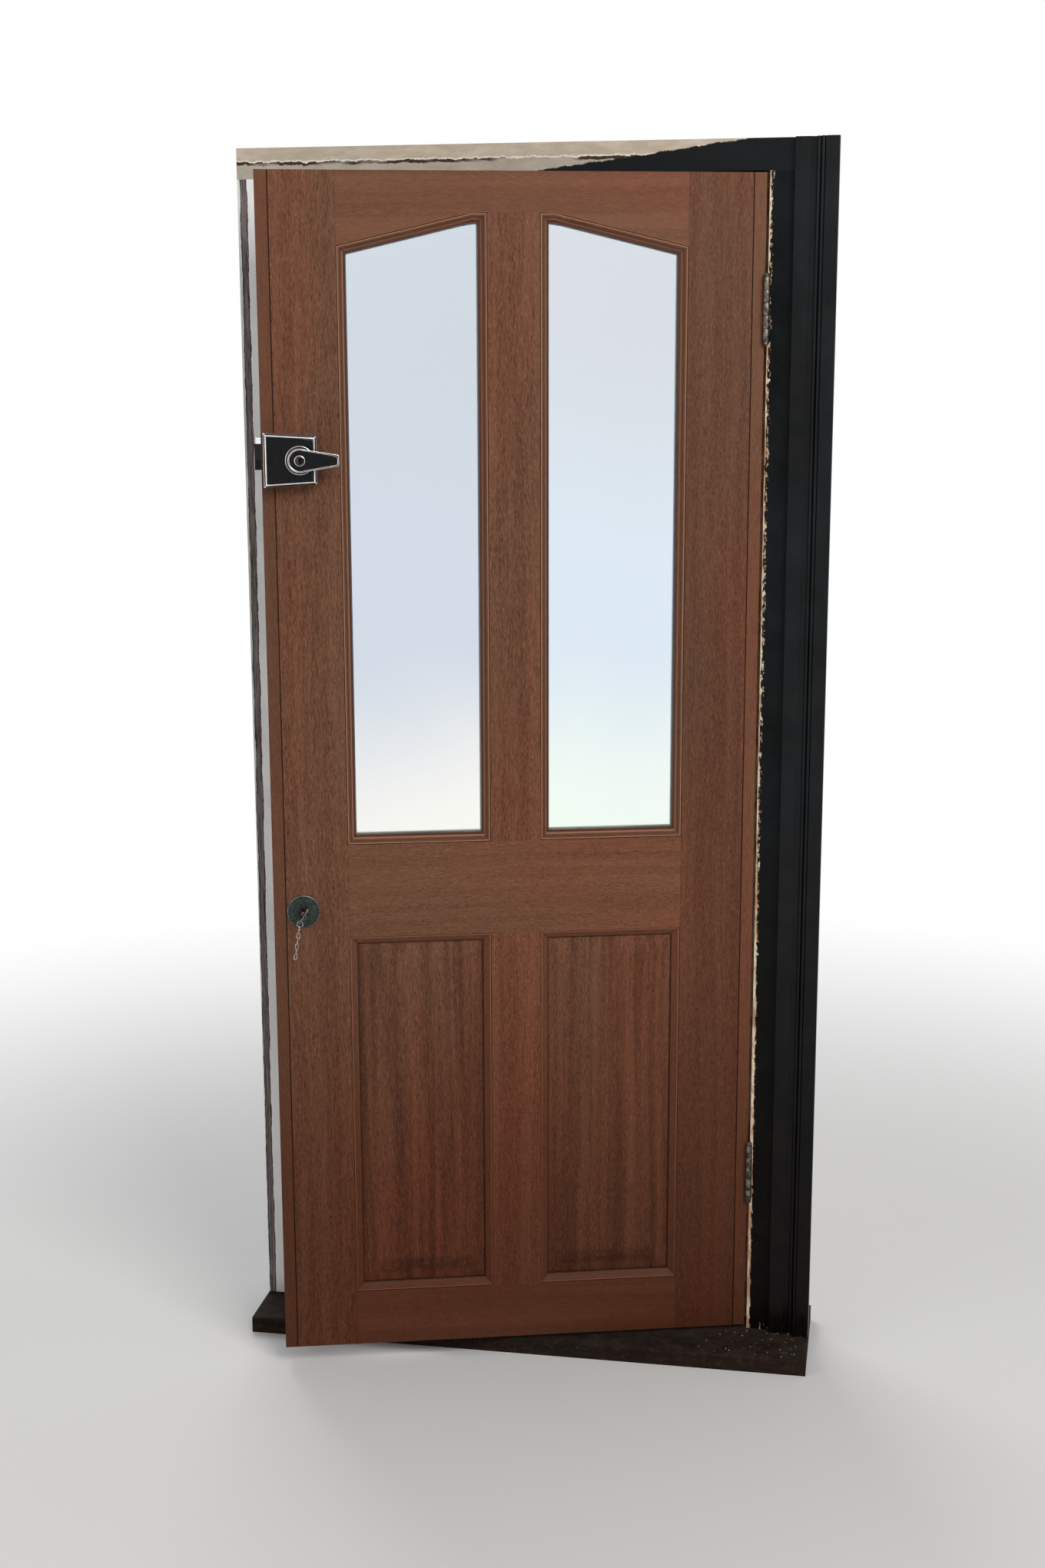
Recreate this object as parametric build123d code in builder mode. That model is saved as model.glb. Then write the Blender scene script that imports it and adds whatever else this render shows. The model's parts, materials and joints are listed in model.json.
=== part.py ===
from build123d import *
import math
import os

os.makedirs("parts", exist_ok=True)

# Panelled front door hung in its frame, in millimetres
# The room is on the -Y side, the hinges are at +X and +Z is up
# The origin is on the underside of the threshold, below the middle of the doorway

# Leaf
leaf_width = 813
leaf_height = 1981
leaf_thickness = 44
opening_angle = 16
swing_gap = 3
threshold_gap = 7
lipping_width = 20.5
joint_bevel = 1.0
stile_width = 125
muntin_width = 84
bottom_rail_height = 98
panel_height = 641
mid_rail_height = 159.5
crown_rail_height = 63.5
head_slope = 13.4
head_blend_radius = 200

# Raised panels and their planted mouldings
panel_tongue = 9
panel_clearance = 0.5
groove_clearance = 0.15
panel_margin_depth = 13
panel_field_depth = 6.5
panel_bevel_width = 29
panel_moulding_width = 14
panel_moulding_set_back = 0.8
panel_moulding_splay_depth = 9.5
panel_moulding_splay_width = 12

# Glazing
bead_width = 14.2
bead_depth = 14
bead_set_back = 0.8
bead_ovolo_radius = 9
bead_ledge_width = 4
bead_ledge_depth = 10.5
pane_thickness = 4
spacer_depth = 8
spacer_height = 12
pane_edge_clearance = 4

# Mortice and tenon joints
tenon_thickness = 15
tenon_length = 50
tenon_clearance = 0.15
tenon_shoulder = 20
muntin_tenon_width = 56
muntin_tenon_length = 24

# Frame
frame_depth = 95
jamb_width = 65
head_height = 50
stop_projection = 13
stop_gap = 1
threshold_thickness = 28
threshold_room_projection = 110
threshold_weather_projection = 15
threshold_edge_round = 5
architrave_width = 70
architrave_reveal = 40
architrave_thickness = 20
flat_width = 25
flat_thickness = 12
hollow_width = 9
hollow_floor = 9
inner_bead_radius = 3.2
outer_bead_radius = 3
bead_quirk = 0.6
band_edge_round = 2
fixing_radius = 4
fixing_heights = (500, 1500)
fixing_y = 22

# Butt hinges
hinge_height = 102
hinge_plate_width = 35
hinge_plate_thickness = 2.5
hinge_knuckle_radius = 5.5
hinge_pin_radius = 3
hinge_pin_projection = 6
running_fit = 0.05
knuckle_count = 5
knuckle_gap = 0.3
pin_tip_radius = 4.6
pin_tip_height = 6
pin_tip_chamfer = 1.5
upper_hinge_drop = 213
lower_hinge_rise = 290
hinge_screw_offsets = ((12, 40), (24, 14), (24, -14), (12, -40))
knuckle_sides = 16
pin_sides = 12
screw_sides = 6
screw_head_radius = 3.7
screw_shank_radius = 1.9
screw_head_land = 0.3
screw_length = 30
screw_clearance = 0.1

# Night latch on the room face
latch_drop = 446.5
latch_backset = 61
latch_edge_margin = 4
latch_case_width = 84
latch_case_left_height = 86
latch_case_right_height = 76
latch_case_depth = 34
latch_case_wall = 2.5
latch_case_bevel = 3.5
latch_plate_thickness = 2
latch_face_inset = 5
latch_face_thickness = 1.2
latch_face_recess = 0.8
latch_rose_radius = 23
latch_rose_thickness = 2.5
lever_hub_radius = 19
lever_length = 62
lever_tip_half_height = 9
lever_tip_round = 3
lever_thickness = 10
lever_inlay_margin = 3
lever_inlay_thickness = 0.8
lever_spindle_radius = 7
lever_spindle_width = 9.8
lever_running_gap = 0.3
follower_width = 16
follower_height = 24
follower_thickness = 5
inside_cylinder_radius = 8.7
cylinder_seat_sides = 24
inside_cylinder_projection = 2.5
bolt_height = 30
bolt_thickness = 14
bolt_length = 38
bolt_throw = 16
bolt_plate_gap = 4.5
bolt_slide_gap = 0.3
bolt_nose_slope = 10
case_screw_offsets = ((-36, 31), (16, 28), (-36, -31), (16, -28))

# Keep of the night latch on the lock jamb
keep_width = 38
keep_height = 55
keep_depth = 28
keep_mouth_depth = 23
keep_mouth_margin = 2.5
keep_cover_height = 44
keep_cover_thickness = 1.2
keep_cover_margin = 1
keep_bevel = 1.5
keep_screw_spacing = 20
keep_screw_inset = 12

# Cylinder lock in the weather face
rim_hole_radius = 16
rim_cylinder_radius = 14.5
rim_cylinder_length = 28
rim_ring_radius = 20
rim_ring_thickness = 4
rim_ring_sides = 36
keyway_width = 1.8
keyway_height = 8
keyway_depth = 19.6
tailbar_width = 5
tailbar_thickness = 1.6
tailbar_reach = 14
tailbar_slot_clearance = 1.5

# Mortice deadlock
deadlock_height = 787
key_backset = 49.5
deadlock_case_length = 64
deadlock_case_thickness = 16
deadlock_case_above = 42
deadlock_case_below = 24
deadlock_case_wall = 1.5
forend_thickness = 3
forend_width = 24
forend_height = 130
forend_screw_inset = 8
mortice_clearance = 0.4
deadbolt_thickness = 10
deadbolt_height = 19
deadbolt_length = 46
deadbolt_rise = 24
deadbolt_slide_gap = 0.3
strike_height = 90
strike_width = 24
strike_thickness = 3
strike_pocket_depth = 24
strike_mouth_clearance = 2
escutcheon_radius = 27.5
escutcheon_thickness = 3
keyhole_clearance = 0.3
keyhole_sides = 12
keyhole_slot_width = 5
keyhole_slot_reach = 13
key_slot_width = 8
key_slot_height = 20.8

# Key and its short chain
key_turn = 30
key_stem_radius = 3
key_bow_gap = 13
key_bow_width = 33
key_bow_length = 24
key_bow_thickness = 2.5
key_bow_corner = 7
key_bow_hole_radius = 3
key_bow_hole_offset = 11
key_bit_reach = 11
key_bit_width = 10
key_bit_thickness = 2.4
ring_radius = 6.3
ring_wire = 1.4
ring_sides = 12
ring_drop = 1.0
link_length = 12
link_width = 6
link_wire = 1.4
link_thickness = 1.3
link_play = 0.15
link_count = 6
chain_lean = 9

# Places worked out from the sizes above
frame_room_y = -frame_depth / 2
frame_weather_y = frame_depth / 2
leaf_room_y = frame_room_y
leaf_weather_y = leaf_room_y + leaf_thickness
leaf_middle_y = (leaf_room_y + leaf_weather_y) / 2
leaf_half = leaf_width / 2
opening_half = leaf_half + swing_gap
frame_half = opening_half + jamb_width
leaf_bottom = threshold_thickness + threshold_gap
leaf_top = leaf_bottom + leaf_height
head_bottom = leaf_top + swing_gap
head_top = head_bottom + head_height
stile_edge = leaf_half - stile_width
muntin_half = muntin_width / 2
light_width = stile_edge - muntin_half
panel_bottom = leaf_bottom + bottom_rail_height
panel_top = panel_bottom + panel_height
light_bottom = panel_top + mid_rail_height
light_crown = leaf_top - crown_rail_height
blend_run = head_blend_radius * math.sin(math.radians(head_slope))
blend_drop = head_blend_radius * (1 - math.cos(math.radians(head_slope)))
slope_drop = (light_width - blend_run) * math.tan(math.radians(head_slope))
light_shoulder = light_crown - blend_drop - slope_drop
pin_x = leaf_half + swing_gap / 2
pin_y = leaf_room_y - hinge_pin_projection
leaf_swing = Pos(pin_x, pin_y, 0) * Rot(0, 0, opening_angle) * Pos(-pin_x, -pin_y, 0)


def swung(swing, plane):
    # a plane carried round by a swing
    return Plane(swing * plane.location)


def frame_face(y):
    return Plane.XZ.offset(-y)


def leaf_face(y):
    # upright plane of the closed leaf at depth y, facing the room, swung with the leaf
    return swung(leaf_swing, Plane.XZ.offset(-y))


def leaf_side(x):
    return swung(leaf_swing, Plane.YZ.offset(x))


def leaf_level(z):
    return swung(leaf_swing, Plane.XY.offset(z))


def facing(way, x, y, z):
    # a small plane at a screw's head, looking the way the head looks
    return Plane(origin=(x, y, z), x_dir=(0, 0, 1), z_dir=way)


def between(across_0, across_1, up_0, up_1):
    # a rectangle given by its four sides, drawn in the open sketch
    with Locations(((across_0 + across_1) / 2, (up_0 + up_1) / 2)):
        Rectangle(across_1 - across_0, up_1 - up_0)


def finish(piece, name):
    piece.part.label = name
    export_step(piece.part, "parts/" + name + ".step")


leaf_normal = Axis((0, 0, 0), leaf_face(0).z_dir)


def light_outline(side, inset=0.0):
    # one glazed opening with its swept head, its sides moved in by inset
    with BuildSketch() as outline:
        with BuildLine():
            blend = CenterArc(
                (muntin_half, light_crown - head_blend_radius),
                head_blend_radius,
                90 - head_slope,
                head_slope,
            )
            Polyline(
                blend @ 1,
                (muntin_half, light_bottom),
                (stile_edge, light_bottom),
                (stile_edge, light_shoulder),
                blend @ 0,
            )
        make_face()
        if inset > 0:
            offset(amount=-inset, kind=Kind.INTERSECTION)
        if side < 0:
            mirror(about=Plane.YZ, mode=Mode.REPLACE)
    return outline.sketch


def panel_outline(side, grow=0.0):
    # one panel opening, its sides moved out by grow
    with BuildSketch() as outline:
        with Locations((side * (muntin_half + light_width / 2), (panel_bottom + panel_top) / 2)):
            Rectangle(light_width + 2 * grow, panel_height + 2 * grow)
    return outline.sketch


def keyhole_outline(up):
    # stem hole, drawn with flats, and the slot that passes the key's bit, about its axis at height up
    with BuildSketch() as outline:
        with Locations((key_x, up)):
            RegularPolygon(
                key_stem_radius + keyhole_clearance,
                keyhole_sides,
                major_radius=False,
            )
        with Locations((key_x, up - keyhole_slot_reach / 2)):
            Rectangle(keyhole_slot_width, keyhole_slot_reach)
    return outline.sketch


# Countersunk wood screw, head at the origin and point along -Z, drawn with flats to stay light
screw_sink_depth = screw_head_radius - screw_shank_radius
with BuildPart() as wood_screw:
    with BuildSketch():
        RegularPolygon(screw_head_radius, screw_sides, major_radius=False)
    extrude(amount=-screw_head_land - screw_sink_depth)
    chamfer(wood_screw.edges().group_by(Axis.Z)[0], length=screw_sink_depth)
    with BuildSketch():
        RegularPolygon(screw_shank_radius, screw_sides, major_radius=False)
    extrude(amount=-screw_length)


def screw_cut(planes, depth):
    # hole for the shank of a screw at each plane, to be taken away where it is added
    with BuildPart() as cut:
        with BuildSketch():
            RegularPolygon(screw_shank_radius + screw_clearance, screw_sides, major_radius=False)
        extrude(amount=-depth)
    return [plane.location * cut.part for plane in planes]


def sunk_cut(planes, depth):
    # the same with the countersink of the head
    with BuildPart() as cut:
        with BuildSketch():
            RegularPolygon(screw_head_radius + screw_clearance, screw_sides, major_radius=False)
        extrude(amount=-screw_head_land - screw_sink_depth)
        chamfer(cut.edges().group_by(Axis.Z)[0], length=screw_sink_depth)
        with BuildSketch():
            RegularPolygon(screw_shank_radius + screw_clearance, screw_sides, major_radius=False)
        extrude(amount=-depth)
    return [plane.location * cut.part for plane in planes]


# Threshold board, reaching into the room in front of the frame
threshold_left = -frame_half
threshold_right = opening_half + architrave_reveal + architrave_width
threshold_room_y = frame_room_y - threshold_room_projection
threshold_weather_y = frame_weather_y + threshold_weather_projection
with BuildPart() as threshold:
    with BuildSketch():
        between(threshold_left, threshold_right, threshold_room_y, threshold_weather_y)
    extrude(amount=threshold_thickness)
    room_nosing = threshold.edges().filter_by(Axis.X).group_by(Axis.Z)[-1].sort_by(Axis.Y)[0]
    fillet(room_nosing, radius=threshold_edge_round)
finish(threshold, "threshold")

# Frame head with its stop
with BuildPart() as head:
    with BuildSketch(Plane.XY.offset(head_bottom)):
        between(-frame_half, frame_half, frame_room_y, frame_weather_y)
    extrude(amount=head_height)
    with BuildSketch(Plane.XY.offset(head_bottom - stop_projection)):
        between(
            stop_projection - opening_half,
            opening_half - stop_projection,
            leaf_weather_y + stop_gap,
            frame_weather_y,
        )
    extrude(amount=stop_projection)
finish(head, "frame_head")

# Places of the locks on the closed leaf
lever_x = latch_backset - leaf_half
latch_z = leaf_top - latch_drop
key_x = key_backset - leaf_half
key_z = leaf_bottom + deadlock_height
deadbolt_z = key_z + deadbolt_rise
bolt_near_y = leaf_room_y - latch_plate_thickness - bolt_plate_gap
bolt_far_y = bolt_near_y - bolt_thickness
keep_screw_x = -opening_half - keep_screw_inset
keep_screw_heights = (latch_z - keep_screw_spacing / 2, latch_z + keep_screw_spacing / 2)
keep_floor_y = bolt_near_y + keep_mouth_margin
strike_screw_rise = (strike_height + deadbolt_height) / 4 + strike_mouth_clearance
strike_screw_heights = (deadbolt_z - strike_screw_rise, deadbolt_z + strike_screw_rise)
forend_screw_rise = forend_height / 2 - forend_screw_inset
forend_screw_heights = (deadbolt_z - forend_screw_rise, deadbolt_z + forend_screw_rise)
upper_hinge_z = leaf_top - upper_hinge_drop
lower_hinge_z = leaf_bottom + lower_hinge_rise
hinge_heights = {"upper": upper_hinge_z, "lower": lower_hinge_z}
hinge_recess_width = hinge_plate_width + hinge_pin_projection


jamb_hinge_screws = [
    facing((-1, 0, 0), opening_half, frame_room_y + a, hinge_z + b)
    for hinge_z in hinge_heights.values()
    for a, b in hinge_screw_offsets
]
leaf_hinge_screw_places = [
    swung(leaf_swing, facing((1, 0, 0), leaf_half, leaf_room_y + a, hinge_z + b))
    for hinge_z in hinge_heights.values()
    for a, b in hinge_screw_offsets
]
plate_y = leaf_room_y - latch_plate_thickness
case_screw_places = [
    swung(leaf_swing, facing((0, -1, 0), lever_x + a, plate_y, latch_z + b))
    for a, b in case_screw_offsets
]
keep_screw_places = [facing((0, -1, 0), keep_screw_x, keep_floor_y, z) for z in keep_screw_heights]
strike_screw_places = [
    facing((1, 0, 0), -opening_half, leaf_middle_y, z) for z in strike_screw_heights
]
forend_screw_places = [
    swung(leaf_swing, facing((-1, 0, 0), -leaf_half, leaf_middle_y, z))
    for z in forend_screw_heights
]


def jamb_section(side):
    # rebated jamb seen from above, on the left for side -1 and on the right for side 1
    with BuildSketch() as section:
        between(opening_half, frame_half, frame_room_y, frame_weather_y)
        between(
            opening_half - stop_projection,
            opening_half,
            leaf_weather_y + stop_gap,
            frame_weather_y,
        )
        if side < 0:
            mirror(about=Plane.YZ, mode=Mode.REPLACE)
    return section.sketch


# Lock jamb with the strike's recess and pocket and the holes of its fixings
with BuildPart() as lock_jamb:
    with BuildSketch(Plane.XY.offset(threshold_thickness)):
        add(jamb_section(-1))
    extrude(amount=head_bottom - threshold_thickness)
    with BuildSketch(Plane.YZ.offset(-frame_half)):
        with Locations(*[(fixing_y, z) for z in fixing_heights]):
            Circle(fixing_radius)
    extrude(amount=jamb_width + stop_projection, mode=Mode.SUBTRACT)
    with BuildSketch(Plane.YZ.offset(-opening_half)):
        with Locations((leaf_middle_y, deadbolt_z)):
            Rectangle(strike_width, strike_height)
    extrude(amount=-strike_thickness, mode=Mode.SUBTRACT)
    with BuildSketch(Plane.YZ.offset(-opening_half)):
        with Locations((leaf_middle_y, deadbolt_z)):
            Rectangle(
                deadbolt_thickness + 2 * strike_mouth_clearance,
                deadbolt_height + 2 * strike_mouth_clearance,
            )
    extrude(amount=-strike_pocket_depth, mode=Mode.SUBTRACT)
    add(screw_cut(strike_screw_places + keep_screw_places, screw_length), mode=Mode.SUBTRACT)
finish(lock_jamb, "lock_jamb")

# Hinge jamb with the recesses of the hinge plates
with BuildPart() as hinge_jamb:
    with BuildSketch(Plane.XY.offset(threshold_thickness)):
        add(jamb_section(1))
    extrude(amount=head_bottom - threshold_thickness)
    with BuildSketch(Plane.YZ.offset(opening_half - stop_projection)):
        with Locations(*[(fixing_y, z) for z in fixing_heights]):
            Circle(fixing_radius)
    extrude(amount=jamb_width + stop_projection, mode=Mode.SUBTRACT)
    for hinge_z in hinge_heights.values():
        with BuildSketch(Plane.YZ.offset(opening_half)):
            between(
                frame_room_y,
                pin_y + hinge_recess_width,
                hinge_z - hinge_height / 2,
                hinge_z + hinge_height / 2,
            )
        extrude(amount=hinge_plate_thickness, mode=Mode.SUBTRACT)
    add(screw_cut(jamb_hinge_screws, screw_length), mode=Mode.SUBTRACT)
finish(hinge_jamb, "hinge_jamb")

# Moulded architrave beside the hinge jamb: flat, hollow, two beads and a raised outer band
architrave_x = opening_half + architrave_reveal
band_start = flat_width + hollow_width + 2 * (inner_bead_radius + outer_bead_radius) + 2 * bead_quirk
with BuildPart() as architrave:
    with BuildSketch(Plane.XY.offset(threshold_thickness)):
        between(
            architrave_x,
            architrave_x + flat_width,
            frame_room_y - flat_thickness,
            frame_room_y,
        )
        between(
            architrave_x + flat_width,
            architrave_x + band_start,
            frame_room_y - hollow_floor,
            frame_room_y,
        )
        between(
            architrave_x + band_start,
            architrave_x + architrave_width,
            frame_room_y - architrave_thickness,
            frame_room_y,
        )
        inner_bead_x = architrave_x + flat_width + hollow_width + inner_bead_radius
        outer_bead_x = inner_bead_x + inner_bead_radius + bead_quirk + outer_bead_radius
        between(
            inner_bead_x - inner_bead_radius,
            inner_bead_x + inner_bead_radius,
            frame_room_y - architrave_thickness + 2 * inner_bead_radius,
            frame_room_y,
        )
        between(
            outer_bead_x - outer_bead_radius,
            outer_bead_x + outer_bead_radius,
            frame_room_y - architrave_thickness + outer_bead_radius,
            frame_room_y,
        )
        with Locations((inner_bead_x, frame_room_y - architrave_thickness + 2 * inner_bead_radius)):
            Circle(inner_bead_radius)
        with Locations((outer_bead_x, frame_room_y - architrave_thickness + outer_bead_radius)):
            Circle(outer_bead_radius)
    extrude(amount=head_top - threshold_thickness)
    outer_arris = architrave.edges().filter_by(Axis.Z).group_by(Axis.Y)[0].sort_by(Axis.X)[-1]
    fillet(outer_arris, radius=band_edge_round)
finish(architrave, "hinge_side_architrave")

# Hinges: one plate on the jamb, one on the leaf's edge and a button-tipped pin between them
knuckle_pitch = hinge_height / knuckle_count


def knuckles(bases, swing):
    # barrels of one plate about the pin, with the pin's hole through them
    with BuildPart() as barrels:
        for base in bases:
            with BuildSketch(swung(swing, Plane.XY.offset(base + knuckle_gap / 2))):
                with Locations((pin_x, pin_y)):
                    RegularPolygon(hinge_knuckle_radius, knuckle_sides, major_radius=False)
            extrude(amount=knuckle_pitch - knuckle_gap)
    return barrels.part


def pin_hole(base, swing):
    with BuildPart() as hole:
        with BuildSketch(swung(swing, Plane.XY.offset(base))):
            with Locations((pin_x, pin_y)):
                RegularPolygon(hinge_pin_radius + running_fit, pin_sides, major_radius=False)
        extrude(amount=hinge_height)
    return hole.part


def plate_outline(base, bases):
    # one hinge plate from its side, with a tongue to each of its own knuckles
    with BuildSketch() as outline:
        between(leaf_room_y, pin_y + hinge_recess_width, base, base + hinge_height)
        for z in bases:
            between(pin_y, leaf_room_y, z + knuckle_gap / 2, z + knuckle_pitch - knuckle_gap / 2)
    return outline.sketch


for index, (place, hinge_z) in enumerate(hinge_heights.items()):
    hinge_base = hinge_z - hinge_height / 2
    frame_knuckles = [hinge_base + knuckle_pitch * n for n in range(0, knuckle_count, 2)]
    leaf_knuckles = [hinge_base + knuckle_pitch * n for n in range(1, knuckle_count, 2)]
    own_screws = slice(index * len(hinge_screw_offsets), (index + 1) * len(hinge_screw_offsets))

    with BuildPart() as frame_plate:
        with BuildSketch(Plane.YZ.offset(opening_half)):
            add(plate_outline(hinge_base, frame_knuckles))
        extrude(amount=hinge_plate_thickness)
        add(knuckles(frame_knuckles, Location()))
        add(pin_hole(hinge_base, Location()), mode=Mode.SUBTRACT)
        add(sunk_cut(jamb_hinge_screws[own_screws], hinge_plate_thickness * 2), mode=Mode.SUBTRACT)
    finish(frame_plate, place + "_hinge_frame_plate")

    with BuildPart() as leaf_plate:
        with BuildSketch(leaf_side(leaf_half)):
            add(plate_outline(hinge_base, leaf_knuckles))
        extrude(amount=-hinge_plate_thickness)
        add(knuckles(leaf_knuckles, leaf_swing))
        add(pin_hole(hinge_base, leaf_swing), mode=Mode.SUBTRACT)
        add(
            sunk_cut(leaf_hinge_screw_places[own_screws], hinge_plate_thickness * 2),
            mode=Mode.SUBTRACT,
        )
    finish(leaf_plate, place + "_hinge_leaf_plate")

    with BuildPart() as hinge_pin:
        with BuildSketch(Plane.XY.offset(hinge_base)):
            with Locations((pin_x, pin_y)):
                Circle(hinge_pin_radius)
        extrude(amount=hinge_height)
        for tip_z, way in ((hinge_base + hinge_height, 1), (hinge_base, -1)):
            with BuildSketch(Plane.XY.offset(tip_z)):
                with Locations((pin_x, pin_y)):
                    RegularPolygon(pin_tip_radius, pin_sides)
            extrude(amount=way * pin_tip_height)
        for index in (-1, 0):
            chamfer(hinge_pin.edges().group_by(Axis.Z)[index], length=pin_tip_chamfer)
    finish(hinge_pin, place + "_hinge_pin")

# Screws of the hinge plates
with BuildPart() as frame_hinge_screws:
    with Locations(*jamb_hinge_screws):
        add(wood_screw.part)
finish(frame_hinge_screws, "frame_hinge_screws")
with BuildPart() as leaf_hinge_screws:
    with Locations(*leaf_hinge_screw_places):
        add(wood_screw.part)
finish(leaf_hinge_screws, "leaf_hinge_screws")

# Tenons of the rails and muntins, and the mortices that take them
rail_tenon_spans = {
    "top": (light_crown - tenon_shoulder, leaf_top - tenon_shoulder),
    "mid": (panel_top + tenon_shoulder, light_bottom - tenon_shoulder),
    "bottom": (leaf_bottom + tenon_shoulder, panel_bottom - tenon_shoulder),
}


def rail_tenon(span, clearance=0.0):
    with BuildSketch() as plan:
        between(
            leaf_middle_y - tenon_thickness / 2 - clearance,
            leaf_middle_y + tenon_thickness / 2 + clearance,
            span[0] - clearance,
            span[1] + clearance,
        )
    return plan.sketch


def muntin_tenon(clearance=0.0):
    with BuildSketch() as plan:
        with Locations((0, leaf_middle_y)):
            Rectangle(muntin_tenon_width + 2 * clearance, tenon_thickness + 2 * clearance)
    return plan.sketch


# Grooves that take the panels' tongues
panel_rise = panel_margin_depth - panel_field_depth
panel_moulding_angle = math.degrees(
    math.atan2(panel_moulding_splay_width, panel_moulding_splay_depth)
)
groove_half = leaf_thickness / 2 - panel_margin_depth + groove_clearance
groove_room_y = leaf_middle_y - groove_half


def groove_outlines():
    with BuildSketch() as outlines:
        add(panel_outline(-1, panel_tongue + panel_clearance))
        add(panel_outline(1, panel_tongue + panel_clearance))
    return outlines.sketch


def stile_section(joint_x, edge_x):
    # stile core seen from above, bevelled where it meets the lipping at joint_x
    with BuildSketch() as section:
        between(min(joint_x, edge_x), max(joint_x, edge_x), leaf_room_y, leaf_weather_y)
        corners = section.vertices().sort_by_distance((joint_x, leaf_middle_y))[:2]
        chamfer(corners, length=joint_bevel)
    return section.sketch


# Stiles and their hardwood lippings
lipping_joint = leaf_half - lipping_width
for name, side in (("lock", -1), ("hinge", 1)):
    with BuildPart() as stile:
        with BuildSketch(leaf_level(leaf_bottom)):
            add(stile_section(side * lipping_joint, side * stile_edge))
        extrude(amount=leaf_height)
        with BuildSketch(leaf_face(groove_room_y)):
            add(groove_outlines())
        extrude(amount=-2 * groove_half, mode=Mode.SUBTRACT)
        for span in rail_tenon_spans.values():
            with BuildSketch(leaf_side(side * stile_edge)):
                add(rail_tenon(span, tenon_clearance))
            extrude(amount=side * (tenon_length + tenon_clearance), mode=Mode.SUBTRACT)
        if side < 0:
            # hole of the outside cylinder, slot for the key and mortice of the deadlock
            with BuildSketch(leaf_face(leaf_room_y)):
                with Locations((lever_x, latch_z)):
                    Circle(rim_hole_radius)
                with Locations((key_x, key_z - keyhole_slot_reach / 4)):
                    Rectangle(key_slot_width, key_slot_height)
            extrude(amount=-leaf_thickness, mode=Mode.SUBTRACT)
            with BuildSketch(leaf_side(-leaf_half)):
                between(
                    leaf_middle_y - deadlock_case_thickness / 2 - mortice_clearance,
                    leaf_middle_y + deadlock_case_thickness / 2 + mortice_clearance,
                    key_z - deadlock_case_below - mortice_clearance,
                    key_z + deadlock_case_above + mortice_clearance,
                )
            extrude(
                amount=forend_thickness + deadlock_case_length + mortice_clearance,
                mode=Mode.SUBTRACT,
            )
            add(
                screw_cut(case_screw_places + forend_screw_places, screw_length),
                mode=Mode.SUBTRACT,
            )
        else:
            add(screw_cut(leaf_hinge_screw_places, screw_length), mode=Mode.SUBTRACT)
    finish(stile, name + "_stile")

    with BuildPart() as lipping:
        with BuildSketch(leaf_level(leaf_bottom)):
            add(stile_section(side * lipping_joint, side * leaf_half))
        extrude(amount=leaf_height)
        if side < 0:
            with BuildSketch(leaf_side(-leaf_half)):
                between(
                    leaf_middle_y - deadlock_case_thickness / 2 - mortice_clearance,
                    leaf_middle_y + deadlock_case_thickness / 2 + mortice_clearance,
                    key_z - deadlock_case_below - mortice_clearance,
                    key_z + deadlock_case_above + mortice_clearance,
                )
            extrude(amount=lipping_width, mode=Mode.SUBTRACT)
            with BuildSketch(leaf_side(-leaf_half)):
                with Locations((leaf_middle_y, deadbolt_z)):
                    Rectangle(forend_width, forend_height)
            extrude(amount=forend_thickness, mode=Mode.SUBTRACT)
            add(screw_cut(forend_screw_places, screw_length), mode=Mode.SUBTRACT)
        else:
            for hinge_z in hinge_heights.values():
                with BuildSketch(leaf_side(leaf_half)):
                    between(
                        leaf_room_y,
                        pin_y + hinge_recess_width,
                        hinge_z - hinge_height / 2,
                        hinge_z + hinge_height / 2,
                    )
                extrude(amount=-hinge_plate_thickness, mode=Mode.SUBTRACT)
            add(screw_cut(leaf_hinge_screw_places, screw_length), mode=Mode.SUBTRACT)
    finish(lipping, name + "_stile_lipping")

# Rails and muntins
with BuildPart() as top_rail:
    with BuildSketch(leaf_face(leaf_room_y)):
        between(-stile_edge, stile_edge, light_shoulder, leaf_top)
        add(light_outline(-1), mode=Mode.SUBTRACT)
        add(light_outline(1), mode=Mode.SUBTRACT)
        with Locations((0, light_crown - muntin_width)):
            Rectangle(muntin_width, 2 * muntin_width, mode=Mode.SUBTRACT)
    extrude(amount=-leaf_thickness)
    for side in (-1, 1):
        with BuildSketch(leaf_side(side * stile_edge)):
            add(rail_tenon(rail_tenon_spans["top"]))
        extrude(amount=side * tenon_length)
    with BuildSketch(leaf_level(light_crown)):
        add(muntin_tenon(tenon_clearance))
    extrude(amount=muntin_tenon_length + tenon_clearance, mode=Mode.SUBTRACT)
finish(top_rail, "top_rail")

for name, rail_bottom, rail_top, muntin_joints in (
    ("mid", panel_top, light_bottom, ((panel_top, 1), (light_bottom, -1))),
    ("bottom", leaf_bottom, panel_bottom, ((panel_bottom, -1),)),
):
    with BuildPart() as rail:
        with BuildSketch(leaf_face(leaf_room_y)):
            between(-stile_edge, stile_edge, rail_bottom, rail_top)
        extrude(amount=-leaf_thickness)
        with BuildSketch(leaf_face(groove_room_y)):
            add(groove_outlines())
        extrude(amount=-2 * groove_half, mode=Mode.SUBTRACT)
        for side in (-1, 1):
            with BuildSketch(leaf_side(side * stile_edge)):
                add(rail_tenon(rail_tenon_spans[name]))
            extrude(amount=side * tenon_length)
        for joint_z, way in muntin_joints:
            with BuildSketch(leaf_level(joint_z)):
                add(muntin_tenon(tenon_clearance))
            extrude(amount=way * (muntin_tenon_length + tenon_clearance), mode=Mode.SUBTRACT)
    finish(rail, name + "_rail")

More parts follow.
